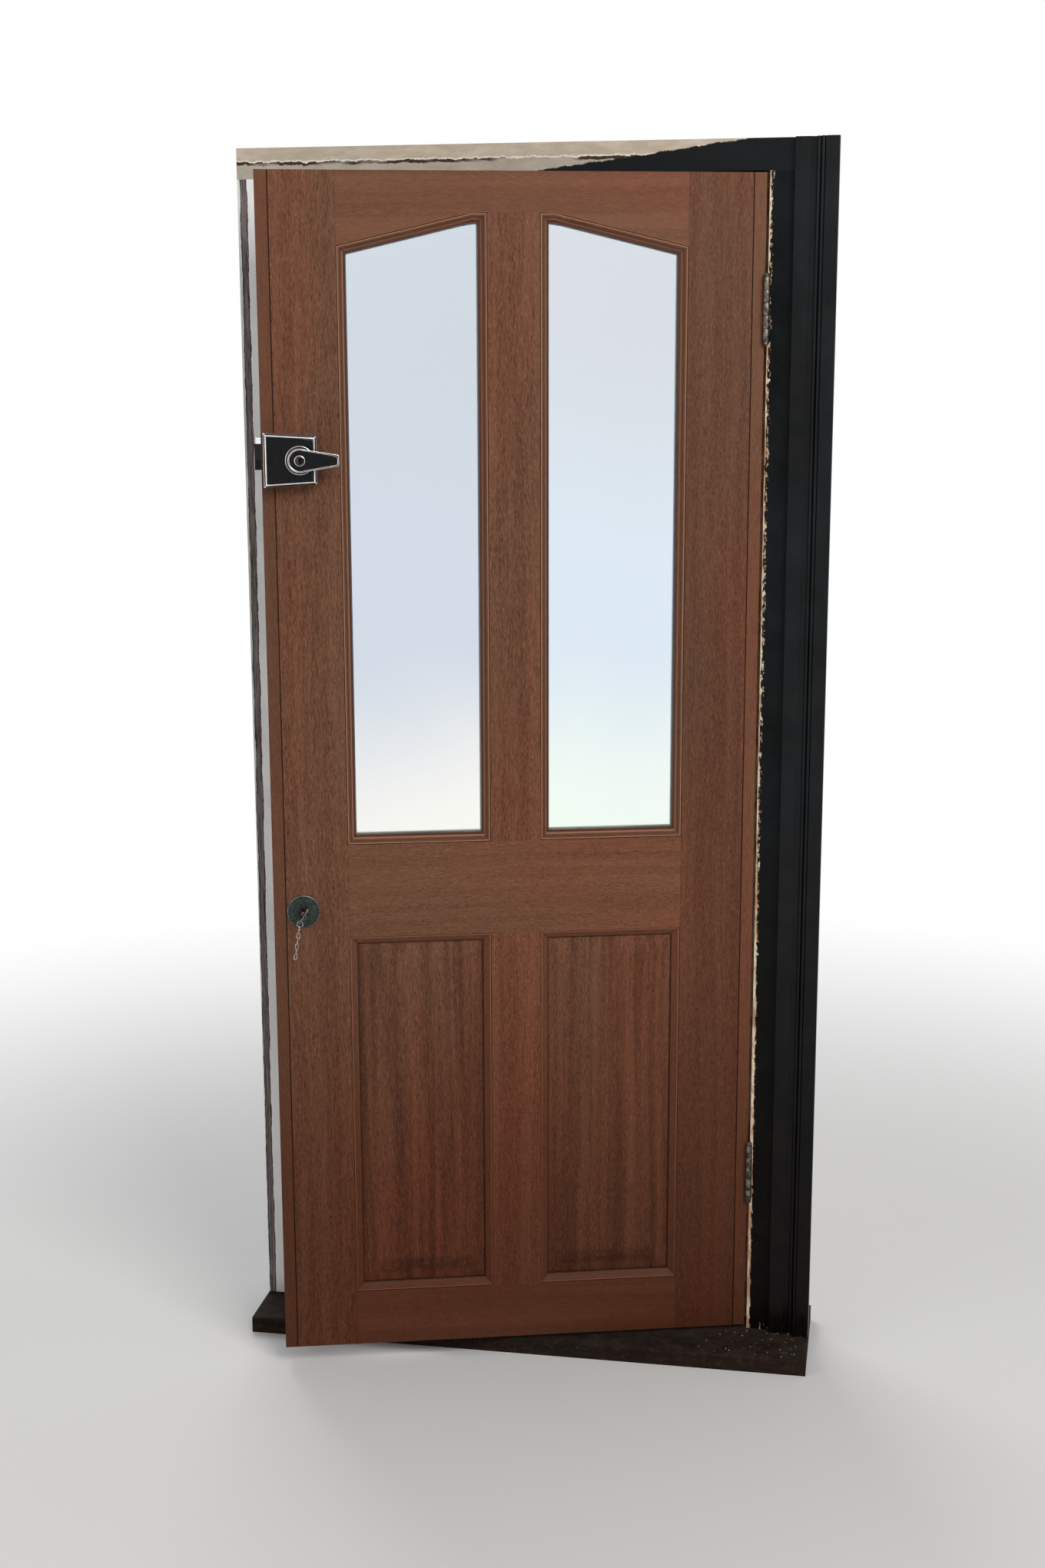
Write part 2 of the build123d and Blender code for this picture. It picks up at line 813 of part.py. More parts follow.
for name, muntin_bottom, muntin_top in (
    ("upper", light_bottom, light_crown),
    ("lower", panel_bottom, panel_top),
):
    with BuildPart() as muntin:
        with BuildSketch(leaf_face(leaf_room_y)):
            between(-muntin_half, muntin_half, muntin_bottom, muntin_top)
        extrude(amount=-leaf_thickness)
        with BuildSketch(leaf_face(groove_room_y)):
            add(groove_outlines())
        extrude(amount=-2 * groove_half, mode=Mode.SUBTRACT)
        for joint_z, way in ((muntin_bottom, -1), (muntin_top, 1)):
            with BuildSketch(leaf_level(joint_z)):
                add(muntin_tenon())
            extrude(amount=way * muntin_tenon_length)
    finish(muntin, name + "_muntin")


def glazing_bead(side, face_y, way):
    # ovolo bead with an inner ledge, way 1 facing the room and -1 facing outdoors, made on the
    # closed leaf and then swung
    seat_y = face_y + way * bead_depth
    with BuildPart() as bead:
        with BuildSketch(frame_face(seat_y)):
            add(light_outline(side))
            add(light_outline(side, bead_width), mode=Mode.SUBTRACT)
        extrude(amount=way * (bead_depth - bead_ledge_depth))
        with BuildSketch(frame_face(seat_y)):
            add(light_outline(side))
            add(light_outline(side, bead_width - bead_ledge_width), mode=Mode.SUBTRACT)
        extrude(amount=way * (bead_depth - bead_set_back))
        by_depth = bead.faces().sort_by(Axis.Y, reverse=True)
        front = by_depth[-1] if way > 0 else by_depth[0]
        fillet(front.inner_wires()[0].edges(), radius=bead_ovolo_radius)
    return leaf_swing * bead.part


def panel_moulding(side, face_y, way):
    # splayed moulding planted round a panel, way 1 facing the room and -1 facing outdoors
    front_y = face_y + way * panel_moulding_set_back
    seat_y = face_y + way * panel_margin_depth
    with BuildPart() as moulding:
        with BuildSketch(leaf_face(seat_y)):
            add(panel_outline(side))
            add(panel_outline(side, -panel_moulding_width), mode=Mode.SUBTRACT)
        extrude(amount=way * (panel_margin_depth - panel_moulding_set_back))
        with BuildSketch(leaf_face(front_y)):
            add(panel_outline(side, panel_moulding_splay_width - panel_moulding_width))
        extrude(
            amount=-way * panel_moulding_splay_depth,
            taper=panel_moulding_angle,
            mode=Mode.SUBTRACT,
        )
    return moulding.part


# Glazing and panels, left and right of the muntins
for name, side in (("left", -1), ("right", 1)):
    with BuildPart() as inner_bead:
        add(glazing_bead(side, leaf_room_y, 1))
    finish(inner_bead, name + "_inner_bead")
    with BuildPart() as outer_bead:
        add(glazing_bead(side, leaf_weather_y, -1))
    finish(outer_bead, name + "_outer_bead")

    with BuildPart() as inner_pane:
        with BuildSketch(leaf_face(leaf_room_y + bead_depth)):
            add(light_outline(side, pane_edge_clearance))
        extrude(amount=-pane_thickness)
    finish(inner_pane, name + "_inner_pane")
    with BuildPart() as outer_pane:
        with BuildSketch(leaf_face(leaf_weather_y - bead_depth)):
            add(light_outline(side, pane_edge_clearance))
        extrude(amount=pane_thickness)
    finish(outer_pane, name + "_outer_pane")
    with BuildPart() as spacer_bar:
        with BuildSketch(leaf_face(leaf_middle_y - spacer_depth / 2)):
            add(light_outline(side, pane_edge_clearance))
            add(light_outline(side, pane_edge_clearance + spacer_height), mode=Mode.SUBTRACT)
        extrude(amount=-spacer_depth)
    finish(spacer_bar, name + "_spacer_bar")

    with BuildPart() as panel:
        with BuildSketch(leaf_face(leaf_room_y + panel_field_depth)):
            add(panel_outline(side, -panel_moulding_width))
        extrude(amount=2 * panel_field_depth - leaf_thickness)
        for index in (-1, 0):
            field = panel.faces().sort_by(leaf_normal)[index]
            chamfer(field.edges(), length=panel_bevel_width, length2=panel_rise, reference=field)
        with BuildSketch(leaf_face(leaf_room_y + panel_margin_depth)):
            add(panel_outline(side, panel_tongue))
        extrude(amount=2 * panel_margin_depth - leaf_thickness)
    finish(panel, name + "_panel")

with BuildPart() as inner_panel_mouldings:
    for side in (-1, 1):
        add(panel_moulding(side, leaf_room_y, 1))
finish(inner_panel_mouldings, "inner_panel_mouldings")
with BuildPart() as outer_panel_mouldings:
    for side in (-1, 1):
        add(panel_moulding(side, leaf_weather_y, -1))
finish(outer_panel_mouldings, "outer_panel_mouldings")

# Night latch on the room face: back plate, hollow case and its dark inset face
case_left = latch_edge_margin - leaf_half
case_right = case_left + latch_case_width
case_front_y = plate_y - latch_case_depth
rose_front_y = case_front_y - latch_rose_thickness


def case_outline(inset=0.0):
    with BuildSketch() as outline:
        with BuildLine():
            Polyline(
                (case_left, latch_z - latch_case_left_height / 2),
                (case_right, latch_z - latch_case_right_height / 2),
                (case_right, latch_z + latch_case_right_height / 2),
                (case_left, latch_z + latch_case_left_height / 2),
                close=True,
            )
        make_face()
        if inset > 0:
            offset(amount=-inset, kind=Kind.INTERSECTION)
    return outline.sketch


with BuildPart() as latch_plate:
    with BuildSketch(leaf_face(leaf_room_y)):
        add(case_outline())
        with Locations((lever_x, latch_z)):
            Rectangle(
                tailbar_width + 2 * tailbar_slot_clearance,
                tailbar_width + 2 * tailbar_slot_clearance,
                mode=Mode.SUBTRACT,
            )
    extrude(amount=latch_plate_thickness)
    add(sunk_cut(case_screw_places, latch_plate_thickness * 2), mode=Mode.SUBTRACT)
finish(latch_plate, "night_latch_back_plate")

with BuildPart() as latch_case:
    with BuildSketch(leaf_face(plate_y)):
        add(case_outline())
    extrude(amount=latch_case_depth)
    case_front = latch_case.faces().sort_by(leaf_normal)[-1]
    chamfer(case_front.edges(), length=latch_case_bevel)
    with BuildSketch(leaf_face(plate_y)):
        add(case_outline(latch_case_wall))
    extrude(amount=latch_case_depth - latch_case_wall - latch_face_recess, mode=Mode.SUBTRACT)
    with BuildSketch(leaf_face(case_front_y)):
        add(case_outline(latch_face_inset))
    extrude(amount=-latch_face_recess, mode=Mode.SUBTRACT)
    with BuildSketch(leaf_face(rose_front_y)):
        with Locations((lever_x, latch_z)):
            Circle(latch_rose_radius)
    extrude(amount=-latch_rose_thickness - latch_face_recess)
    with BuildSketch(leaf_face(rose_front_y)):
        with Locations((lever_x, latch_z)):
            Circle(lever_spindle_radius + running_fit)
    extrude(amount=-latch_case_depth, mode=Mode.SUBTRACT)
    with BuildSketch(leaf_side(case_left)):
        with Locations(((bolt_near_y + bolt_far_y) / 2, latch_z)):
            Rectangle(bolt_thickness + 2 * bolt_slide_gap, bolt_height + 2 * bolt_slide_gap)
    extrude(amount=latch_case_wall, mode=Mode.SUBTRACT)
finish(latch_case, "night_latch_case")

with BuildPart() as latch_face:
    with BuildSketch(leaf_face(case_front_y + latch_face_recess)):
        add(case_outline(latch_face_inset + screw_clearance))
        with Locations((lever_x, latch_z)):
            Circle(latch_rose_radius + screw_clearance, mode=Mode.SUBTRACT)
    extrude(amount=latch_face_thickness)
finish(latch_face, "night_latch_face")

with BuildPart() as latch_screws:
    with Locations(*case_screw_places):
        add(wood_screw.part)
finish(latch_screws, "night_latch_screws")

# Spring bolt of the night latch, held back flush with its case
with BuildPart() as latch_bolt:
    with BuildSketch(leaf_level(latch_z - bolt_height / 2)):
        with BuildLine():
            Polyline(
                (case_left, bolt_far_y),
                (case_left + bolt_length, bolt_far_y),
                (case_left + bolt_length, bolt_near_y),
                (case_left + bolt_nose_slope, bolt_near_y),
                (case_left, bolt_far_y + bolt_thickness / 3),
                close=True,
            )
        make_face()
    extrude(amount=bolt_height)
finish(latch_bolt, "latch_bolt")

# Turn lever with its dark inlay and the cylinder in its hub
lever_back_y = rose_front_y - lever_running_gap
lever_front_y = lever_back_y - lever_thickness


def lever_outline(inset=0.0):
    with BuildSketch() as outline:
        with Locations((lever_x, latch_z)):
            Circle(lever_hub_radius - inset)
        with BuildLine():
            Polyline(
                (lever_x, latch_z - lever_hub_radius + inset),
                (lever_x + lever_length - inset, latch_z - lever_tip_half_height + inset),
                (lever_x + lever_length - inset, latch_z + lever_tip_half_height - inset),
                (lever_x, latch_z + lever_hub_radius - inset),
                close=True,
            )
        make_face()
        tip_corners = outline.vertices().group_by(Axis.X)[-1]
        fillet(tip_corners, radius=lever_tip_round)
    return outline.sketch


with BuildPart() as turn_lever:
    with BuildSketch(leaf_face(lever_back_y)):
        add(lever_outline())
    extrude(amount=lever_thickness)
    with BuildSketch(leaf_face(lever_front_y)):
        add(lever_outline(lever_inlay_margin))
    extrude(amount=-lever_inlay_thickness, mode=Mode.SUBTRACT)
    with BuildSketch(leaf_face(lever_front_y)):
        with Locations((lever_x, latch_z)):
            RegularPolygon(inside_cylinder_radius, cylinder_seat_sides, major_radius=False)
    extrude(amount=-lever_thickness / 2, mode=Mode.SUBTRACT)
    follower_y = case_front_y + latch_face_recess + latch_case_wall + lever_running_gap
    with BuildSketch(leaf_face(lever_back_y)):
        with Locations((lever_x, latch_z)):
            Rectangle(lever_spindle_width, lever_spindle_width)
    extrude(amount=lever_back_y - follower_y)
    with BuildSketch(leaf_face(follower_y)):
        with Locations((lever_x, latch_z)):
            Rectangle(follower_width, follower_height)
    extrude(amount=-follower_thickness)
finish(turn_lever, "turn_lever")

with BuildPart() as lever_inlay:
    with BuildSketch(leaf_face(lever_front_y + lever_inlay_thickness)):
        add(lever_outline(lever_inlay_margin + screw_clearance))
        with Locations((lever_x, latch_z)):
            RegularPolygon(
                inside_cylinder_radius + screw_clearance,
                cylinder_seat_sides,
                major_radius=False,
                mode=Mode.SUBTRACT,
            )
    extrude(amount=lever_inlay_thickness)
finish(lever_inlay, "lever_inlay")

with BuildPart() as inside_cylinder:
    with BuildSketch(leaf_face(lever_front_y + lever_thickness / 2)):
        with Locations((lever_x, latch_z)):
            Circle(inside_cylinder_radius - screw_clearance)
    extrude(amount=lever_thickness / 2 + inside_cylinder_projection)
    with BuildSketch(leaf_face(lever_front_y - inside_cylinder_projection)):
        with Locations((lever_x, latch_z)):
            Rectangle(keyway_width, keyway_height)
    extrude(amount=-lever_thickness / 2, mode=Mode.SUBTRACT)
finish(inside_cylinder, "inside_cylinder")

# Cylinder in the weather face, with its ring and the tailbar that works the latch
rim_front_y = leaf_weather_y + rim_ring_thickness
with BuildPart() as rim_ring:
    with BuildSketch(leaf_face(leaf_weather_y)):
        with Locations((lever_x, latch_z)):
            RegularPolygon(rim_ring_radius, rim_ring_sides, major_radius=False)
            RegularPolygon(
                rim_cylinder_radius + screw_clearance,
                rim_ring_sides,
                major_radius=False,
                mode=Mode.SUBTRACT,
            )
    extrude(amount=-rim_ring_thickness)
finish(rim_ring, "rim_cylinder_ring")
with BuildPart() as rim_cylinder:
    with BuildSketch(leaf_face(rim_front_y)):
        with Locations((lever_x, latch_z)):
            Circle(rim_cylinder_radius)
    extrude(amount=rim_cylinder_length)
    with BuildSketch(leaf_face(rim_front_y)):
        with Locations((lever_x, latch_z)):
            Rectangle(keyway_width, keyway_height)
    extrude(amount=keyway_depth, mode=Mode.SUBTRACT)
    with BuildSketch(leaf_face(rim_front_y - rim_cylinder_length)):
        with Locations((lever_x, latch_z)):
            Rectangle(tailbar_thickness, tailbar_width)
    extrude(amount=leaf_thickness + rim_ring_thickness - rim_cylinder_length + tailbar_reach)
finish(rim_cylinder, "rim_cylinder")

# Keep of the night latch, open towards the leaf, with a dark cover on its lower part
keep_left = -opening_half - keep_width
keep_front_y = frame_room_y - keep_depth
keep_bottom = latch_z - keep_height / 2
with BuildPart() as latch_keep:
    with BuildSketch(Plane.XY.offset(keep_bottom)):
        between(keep_left, -opening_half, keep_front_y, frame_room_y)
    extrude(amount=keep_height)
    keep_front_edges = latch_keep.edges().group_by(Axis.Y)[0]
    chamfer(keep_front_edges, length=keep_bevel)
    with BuildSketch(Plane.YZ.offset(-opening_half)):
        between(
            bolt_far_y - keep_mouth_margin,
            keep_floor_y,
            latch_z - bolt_height / 2 - keep_mouth_margin,
            latch_z + bolt_height / 2 + keep_mouth_margin,
        )
    extrude(amount=-keep_mouth_depth, mode=Mode.SUBTRACT)
    add(sunk_cut(keep_screw_places, keep_depth), mode=Mode.SUBTRACT)
finish(latch_keep, "latch_keep")
with BuildPart() as keep_cover:
    with BuildSketch(Plane.XY.offset(keep_bottom)):
        between(
            keep_left - keep_cover_thickness,
            -opening_half - keep_cover_margin,
            keep_front_y - keep_cover_thickness,
            frame_room_y,
        )
        between(keep_left, -opening_half, keep_front_y, frame_room_y)
    extrude(amount=keep_cover_height)
    with BuildSketch(Plane.XY.offset(keep_bottom)):
        between(keep_left, -opening_half, keep_front_y, frame_room_y)
    extrude(amount=keep_cover_height, mode=Mode.SUBTRACT)
finish(keep_cover, "latch_keep_cover")

# Strike plate of the deadlock
with BuildPart() as strike_plate:
    with BuildSketch(Plane.YZ.offset(-opening_half)):
        with Locations((leaf_middle_y, deadbolt_z)):
            Rectangle(strike_width, strike_height)
            Rectangle(
                deadbolt_thickness + 2 * strike_mouth_clearance,
                deadbolt_height + 2 * strike_mouth_clearance,
                mode=Mode.SUBTRACT,
            )
    extrude(amount=-strike_thickness)
    add(sunk_cut(strike_screw_places, strike_thickness * 2), mode=Mode.SUBTRACT)
finish(strike_plate, "deadlock_strike_plate")
with BuildPart() as jamb_lock_screws:
    with Locations(*keep_screw_places, *strike_screw_places):
        add(wood_screw.part)
finish(jamb_lock_screws, "jamb_lock_screws")

# Mortice deadlock: forend, case and bolt
case_back_x = forend_thickness + deadlock_case_length - leaf_half
with BuildPart() as deadlock_forend:
    with BuildSketch(leaf_side(-leaf_half)):
        with Locations((leaf_middle_y, deadbolt_z)):
            Rectangle(forend_width, forend_height)
            Rectangle(
                deadbolt_thickness + 2 * deadbolt_slide_gap,
                deadbolt_height + 2 * deadbolt_slide_gap,
                mode=Mode.SUBTRACT,
            )
    extrude(amount=forend_thickness)
    add(sunk_cut(forend_screw_places, forend_thickness * 2), mode=Mode.SUBTRACT)
finish(deadlock_forend, "deadlock_forend")
with BuildPart() as forend_screws:
    with Locations(*forend_screw_places):
        add(wood_screw.part)
finish(forend_screws, "deadlock_screws")

with BuildPart() as deadlock_case:
    with BuildSketch(leaf_side(forend_thickness - leaf_half)):
        between(
            leaf_middle_y - deadlock_case_thickness / 2,
            leaf_middle_y + deadlock_case_thickness / 2,
            key_z - deadlock_case_below,
            key_z + deadlock_case_above,
        )
    extrude(amount=deadlock_case_length)
    with BuildSketch(leaf_side(forend_thickness - leaf_half)):
        between(
            leaf_middle_y - deadlock_case_thickness / 2 + deadlock_case_wall,
            leaf_middle_y + deadlock_case_thickness / 2 - deadlock_case_wall,
            key_z - deadlock_case_below + deadlock_case_wall,
            key_z + deadlock_case_above - deadlock_case_wall,
        )
    extrude(amount=deadlock_case_length - deadlock_case_wall, mode=Mode.SUBTRACT)
    with BuildSketch(leaf_face(leaf_room_y)):
        add(keyhole_outline(key_z))
    extrude(amount=-leaf_thickness, mode=Mode.SUBTRACT)
finish(deadlock_case, "deadlock_case")

with BuildPart() as deadbolt:
    with BuildSketch(leaf_side(-leaf_half)):
        with Locations((leaf_middle_y, deadbolt_z)):
            Rectangle(deadbolt_thickness, deadbolt_height)
    extrude(amount=deadbolt_length)
finish(deadbolt, "deadbolt")

for name, face_y, way in (("inside", leaf_room_y, 1), ("outside", leaf_weather_y, -1)):
    with BuildPart() as escutcheon:
        with BuildSketch(leaf_face(face_y)):
            with Locations((key_x, key_z)):
                Circle(escutcheon_radius)
            add(keyhole_outline(key_z), mode=Mode.SUBTRACT)
        extrude(amount=way * escutcheon_thickness)
    finish(escutcheon, name + "_escutcheon")

# Key left in the deadlock, a little turned, and the short chain on its bow
key_swing = leaf_swing * Pos(key_x, 0, key_z) * Rot(0, key_turn, 0)
bow_near_y = leaf_room_y - key_bow_gap
bow_middle_y = bow_near_y - key_bow_length / 2
key_end_y = leaf_middle_y + key_bit_width / 2
with BuildPart() as key:
    with BuildSketch(leaf_face(key_end_y)):
        with Locations((key_x, key_z)):
            Circle(key_stem_radius)
    extrude(amount=key_end_y - bow_near_y + key_stem_radius)
    with BuildSketch(swung(key_swing, Plane.YZ)):
        with Locations((bow_middle_y, 0)):
            RectangleRounded(key_bow_length, key_bow_width, key_bow_corner)
        with Locations((bow_middle_y, -key_bow_hole_offset)):
            Circle(key_bow_hole_radius, mode=Mode.SUBTRACT)
    extrude(amount=key_bow_thickness / 2, both=True)
    with BuildSketch(swung(key_swing, Plane.YZ)):
        between(key_end_y - key_bit_width, key_end_y, -key_bit_reach, 0)
    extrude(amount=key_bit_thickness / 2, both=True)
finish(key, "key")

bow_hole_x = key_x - key_bow_hole_offset * math.sin(math.radians(key_turn))
bow_hole_z = key_z - key_bow_hole_offset * math.cos(math.radians(key_turn))
chain_swing = leaf_swing * Pos(bow_hole_x, bow_middle_y, bow_hole_z) * Rot(0, chain_lean, 0)
link_hold = link_length / 2 - link_wire
first_link = -ring_drop - 2 * ring_radius + ring_wire / 2 - link_hold + link_play


def link_outline(length, width):
    # one oval link drawn with eight sides
    run = (length - width) / 2
    with BuildSketch() as outline:
        with BuildLine():
            Polyline(
                (width / 2, -run),
                (width / 2, run),
                (width / 5, length / 2),
                (-width / 5, length / 2),
                (-width / 2, run),
                (-width / 2, -run),
                (-width / 5, -length / 2),
                (width / 5, -length / 2),
                close=True,
            )
        make_face()
    return outline.sketch


with BuildPart() as key_chain:
    with BuildSketch(swung(chain_swing, Plane.XZ)):
        with Locations((0, -ring_drop - ring_radius)):
            RegularPolygon(ring_radius + ring_wire / 2, ring_sides, major_radius=False)
            RegularPolygon(
                ring_radius - ring_wire / 2,
                ring_sides,
                major_radius=False,
                mode=Mode.SUBTRACT,
            )
    extrude(amount=ring_wire / 2, both=True)
    for n in range(link_count):
        link_plane = Plane.YZ if n % 2 == 0 else Plane.XZ
        with BuildSketch(swung(chain_swing, link_plane)):
            with Locations((0, first_link - n * (2 * link_hold - link_play))):
                add(link_outline(link_length, link_width))
                add(
                    link_outline(link_length - 2 * link_wire, link_width - 2 * link_wire),
                    mode=Mode.SUBTRACT,
                )
        extrude(amount=link_thickness / 2, both=True)
finish(key_chain, "key_chain")
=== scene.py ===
import json
import math
import random

import bmesh
import bpy
from mathutils import Matrix, Vector

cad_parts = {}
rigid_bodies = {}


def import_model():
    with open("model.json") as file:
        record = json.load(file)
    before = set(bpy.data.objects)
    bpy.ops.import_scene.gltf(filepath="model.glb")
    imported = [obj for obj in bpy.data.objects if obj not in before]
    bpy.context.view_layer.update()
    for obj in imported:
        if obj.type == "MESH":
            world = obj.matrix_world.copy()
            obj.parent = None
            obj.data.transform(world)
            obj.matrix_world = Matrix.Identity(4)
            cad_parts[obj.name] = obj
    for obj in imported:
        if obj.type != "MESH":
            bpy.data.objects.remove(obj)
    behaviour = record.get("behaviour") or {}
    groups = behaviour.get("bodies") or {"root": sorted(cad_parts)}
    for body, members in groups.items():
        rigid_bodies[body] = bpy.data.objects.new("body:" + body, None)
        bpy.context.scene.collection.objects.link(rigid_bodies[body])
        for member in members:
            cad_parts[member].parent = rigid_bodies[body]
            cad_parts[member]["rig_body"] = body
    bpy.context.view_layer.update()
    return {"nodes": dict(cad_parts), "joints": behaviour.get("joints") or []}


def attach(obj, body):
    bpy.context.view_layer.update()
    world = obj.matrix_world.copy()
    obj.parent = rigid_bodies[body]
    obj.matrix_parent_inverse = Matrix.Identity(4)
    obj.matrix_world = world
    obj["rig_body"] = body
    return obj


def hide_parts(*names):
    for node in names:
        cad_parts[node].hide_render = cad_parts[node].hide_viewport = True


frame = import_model()
print("frame loaded:", len(frame["nodes"]), "nodes")

scene = bpy.context.scene
scene.view_settings.view_transform = "Standard"

# how far the leaf stands open, and its pin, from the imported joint
doorJoint = next(j for j in frame["joints"] if j["name"] == "door_swing")
openAngle = -math.radians(doorJoint["range_deg"][0])
pinPlace = Vector(doorJoint["pos_m"])
leafSwing = (
    Matrix.Translation(pinPlace) @ Matrix.Rotation(openAngle, 4, "Z") @ Matrix.Translation(-pinPlace)
)


# Shader trees
class Tree:
    # a node tree with short names for what is used most
    def __init__(self, owner):
        self.owner = owner
        self.nodes = owner.nodes
        self.links = owner.links

    def put(self, socket, value):
        if isinstance(value, bpy.types.NodeSocket):
            self.links.new(value, socket)
        elif value is not None:
            wide = len(socket.default_value) if hasattr(socket.default_value, "__len__") else 0
            socket.default_value = (*value, 1.0) if wide == 4 and len(value) == 3 else value

    def add(self, kind, **settings):
        node = self.nodes.new(kind)
        for label, value in settings.items():
            setattr(node, label, value)
        return node

    def math(self, operation, a, b=None, c=None, clamp=False):
        node = self.add("ShaderNodeMath", operation=operation, use_clamp=clamp)
        for socket, value in zip(node.inputs, (a, b, c)):
            self.put(socket, value)
        return node.outputs[0]

    def times(self, place, factors):
        node = self.add("ShaderNodeVectorMath", operation="MULTIPLY")
        self.put(node.inputs[0], place)
        self.put(node.inputs[1], factors)
        return node.outputs[0]

    def plus(self, place, offset):
        node = self.add("ShaderNodeVectorMath", operation="ADD")
        self.put(node.inputs[0], place)
        self.put(node.inputs[1], offset)
        return node.outputs[0]

    def split(self, place):
        node = self.add("ShaderNodeSeparateXYZ")
        self.put(node.inputs[0], place)
        return tuple(node.outputs)

    def join(self, x, y, z):
        node = self.add("ShaderNodeCombineXYZ")
        for socket, value in zip(node.inputs, (x, y, z)):
            self.put(socket, value)
        return node.outputs[0]

    def noise(self, place, scale=1.0, detail=2.0, rough=0.5):
        node = self.add("ShaderNodeTexNoise")
        for label, value in (("Vector", place), ("Scale", scale), ("Detail", detail), ("Roughness", rough)):
            self.put(node.inputs[label], value)
        return node.outputs["Fac"]

    def ramp(self, value, low, high, toLow=0.0, toHigh=1.0):
        node = self.add("ShaderNodeMapRange", interpolation_type="SMOOTHSTEP")
        for socket, item in zip(node.inputs, (value, low, high, toLow, toHigh)):
            self.put(socket, item)
        return node.outputs[0]

    def band(self, value, middle, half, soft):
        # 1 within half of middle, fading to 0 over soft
        away = self.math("ABSOLUTE", self.math("SUBTRACT", value, middle))
        return self.ramp(away, half, half + soft, 1.0, 0.0)

    def mix(self, share, a, b, blend="MIX"):
        node = self.add("ShaderNodeMix", data_type="RGBA", blend_type=blend)
        for socket, value in ((node.inputs[0], share), (node.inputs[6], a), (node.inputs[7], b)):
            self.put(socket, value)
        return node.outputs[2]

    def blend(self, share, a, b, kind="FLOAT"):
        node = self.add("ShaderNodeMix", data_type=kind)
        first = {"FLOAT": 2, "VECTOR": 4}[kind]
        for socket, value in ((node.inputs[0], share), (node.inputs[first], a), (node.inputs[first + 1], b)):
            self.put(socket, value)
        return node.outputs[0 if kind == "FLOAT" else 1]

    def group(self, made, **values):
        node = self.add("ShaderNodeGroup", node_tree=made.owner)
        for label, value in values.items():
            self.put(node.inputs[label], value)
        return node.outputs

    def bump(self, height, strength, distance):
        node = self.add("ShaderNodeBump")
        for label, value in (("Strength", strength), ("Distance", distance), ("Height", height)):
            self.put(node.inputs[label], value)
        return node.outputs[0]


def newGroup(name, inputs, outputs):
    kinds = {"colour": "NodeSocketColor", "number": "NodeSocketFloat", "place": "NodeSocketVector"}
    owner = bpy.data.node_groups.new(name, "ShaderNodeTree")
    for label, kind in inputs.items():
        owner.interface.new_socket(name=label, in_out="INPUT", socket_type=kinds[kind])
    for label, kind in outputs.items():
        owner.interface.new_socket(name=label, in_out="OUTPUT", socket_type=kinds[kind])
    tree = Tree(owner)
    tree.enter = tree.add("NodeGroupInput").outputs
    tree.leave = tree.add("NodeGroupOutput").inputs
    return tree


def newMaterial(name, **plain):
    material = bpy.data.materials.new(name)
    material.use_nodes = True
    tree = Tree(material.node_tree)
    tree.material = material
    tree.shader = tree.nodes["Principled BSDF"].inputs
    for label, value in plain.items():
        tree.put(tree.shader[label.replace("_", " ")], value)
    tree.object = tree.add("ShaderNodeTexCoord").outputs["Object"]
    return tree


def onLeaf(tree):
    # Object coordinates turned back to the closed leaf, so that x runs along it
    back = leafSwing.inverted()
    mapping = tree.add("ShaderNodeMapping", vector_type="POINT")
    mapping.inputs["Location"].default_value = back.translation
    mapping.inputs["Rotation"].default_value = back.to_euler()
    tree.put(mapping.inputs["Vector"], tree.object)
    return mapping.outputs[0]


def ringGrain(tree, place, ring):
    # grain that follows the nearest side of a ring, mitred at its corners, and the way in from its edge
    x, y, z = tree.split(place)
    aside = tree.math("ABSOLUTE", x)
    fromInner = tree.math("SUBTRACT", aside, ring["inner"])
    fromSide = tree.math("MINIMUM", fromInner, tree.math("SUBTRACT", ring["outer"], aside))
    slope = math.tan(math.radians(ring["slope"]))
    sweep = tree.math("MULTIPLY_ADD", tree.math("SUBTRACT", ring["outer"], aside), slope, ring["shoulder"])
    headroom = tree.math("SUBTRACT", tree.math("MINIMUM", sweep, ring["top"]), z)
    headroom = tree.math("MULTIPLY", headroom, math.cos(math.radians(ring["slope"])))
    fromEnd = tree.math("MINIMUM", headroom, tree.math("SUBTRACT", z, ring["bottom"]))
    upright = tree.math("LESS_THAN", fromSide, fromEnd)
    lying = tree.join(tree.math("ADD", z, 3.1), y, x)
    apart = tree.math("ABSOLUTE", tree.math("SUBTRACT", fromSide, fromEnd))
    corner = tree.ramp(apart, 0.0002, 0.0009, 1.0, 0.0)
    return tree.blend(upright, lying, place, "VECTOR"), corner, tree.math("MINIMUM", fromSide, fromEnd)


# Shared effects
# open-pored hardwood, its grain along z
figure = newGroup(
    "hardwoodFigure",
    {"Place": "place", "Seed": "number", "Dark": "colour", "Light": "colour",
     "Ribbon": "number", "Streak": "number", "Pores": "number"},
    {"Color": "colour", "Roughness": "number", "Height": "number"},
)
g, out = figure.enter, figure.leave
seedNode = figure.add("ShaderNodeVectorMath", operation="SCALE")
figure.put(seedNode.inputs[0], (1.7, 0.9, 2.3))
figure.put(seedNode.inputs["Scale"], g["Seed"])
spot = figure.plus(g["Place"], seedNode.outputs[0])
wander = figure.noise(figure.times(spot, (5.0, 5.0, 1.3)), 1.0, 1.0)
lean = figure.math("MULTIPLY", figure.math("SUBTRACT", wander, 0.5), 0.04)
spot = figure.plus(spot, figure.join(lean, 0.0, 0.0))
ribbon = figure.ramp(figure.noise(figure.times(spot, (46.0, 30.0, 0.9)), 1.0, 2.0, 0.6), 0.3, 0.7)
streak = figure.ramp(figure.noise(figure.times(spot, (380.0, 240.0, 38.0)), 1.0, 3.0, 0.6), 0.3, 0.7)
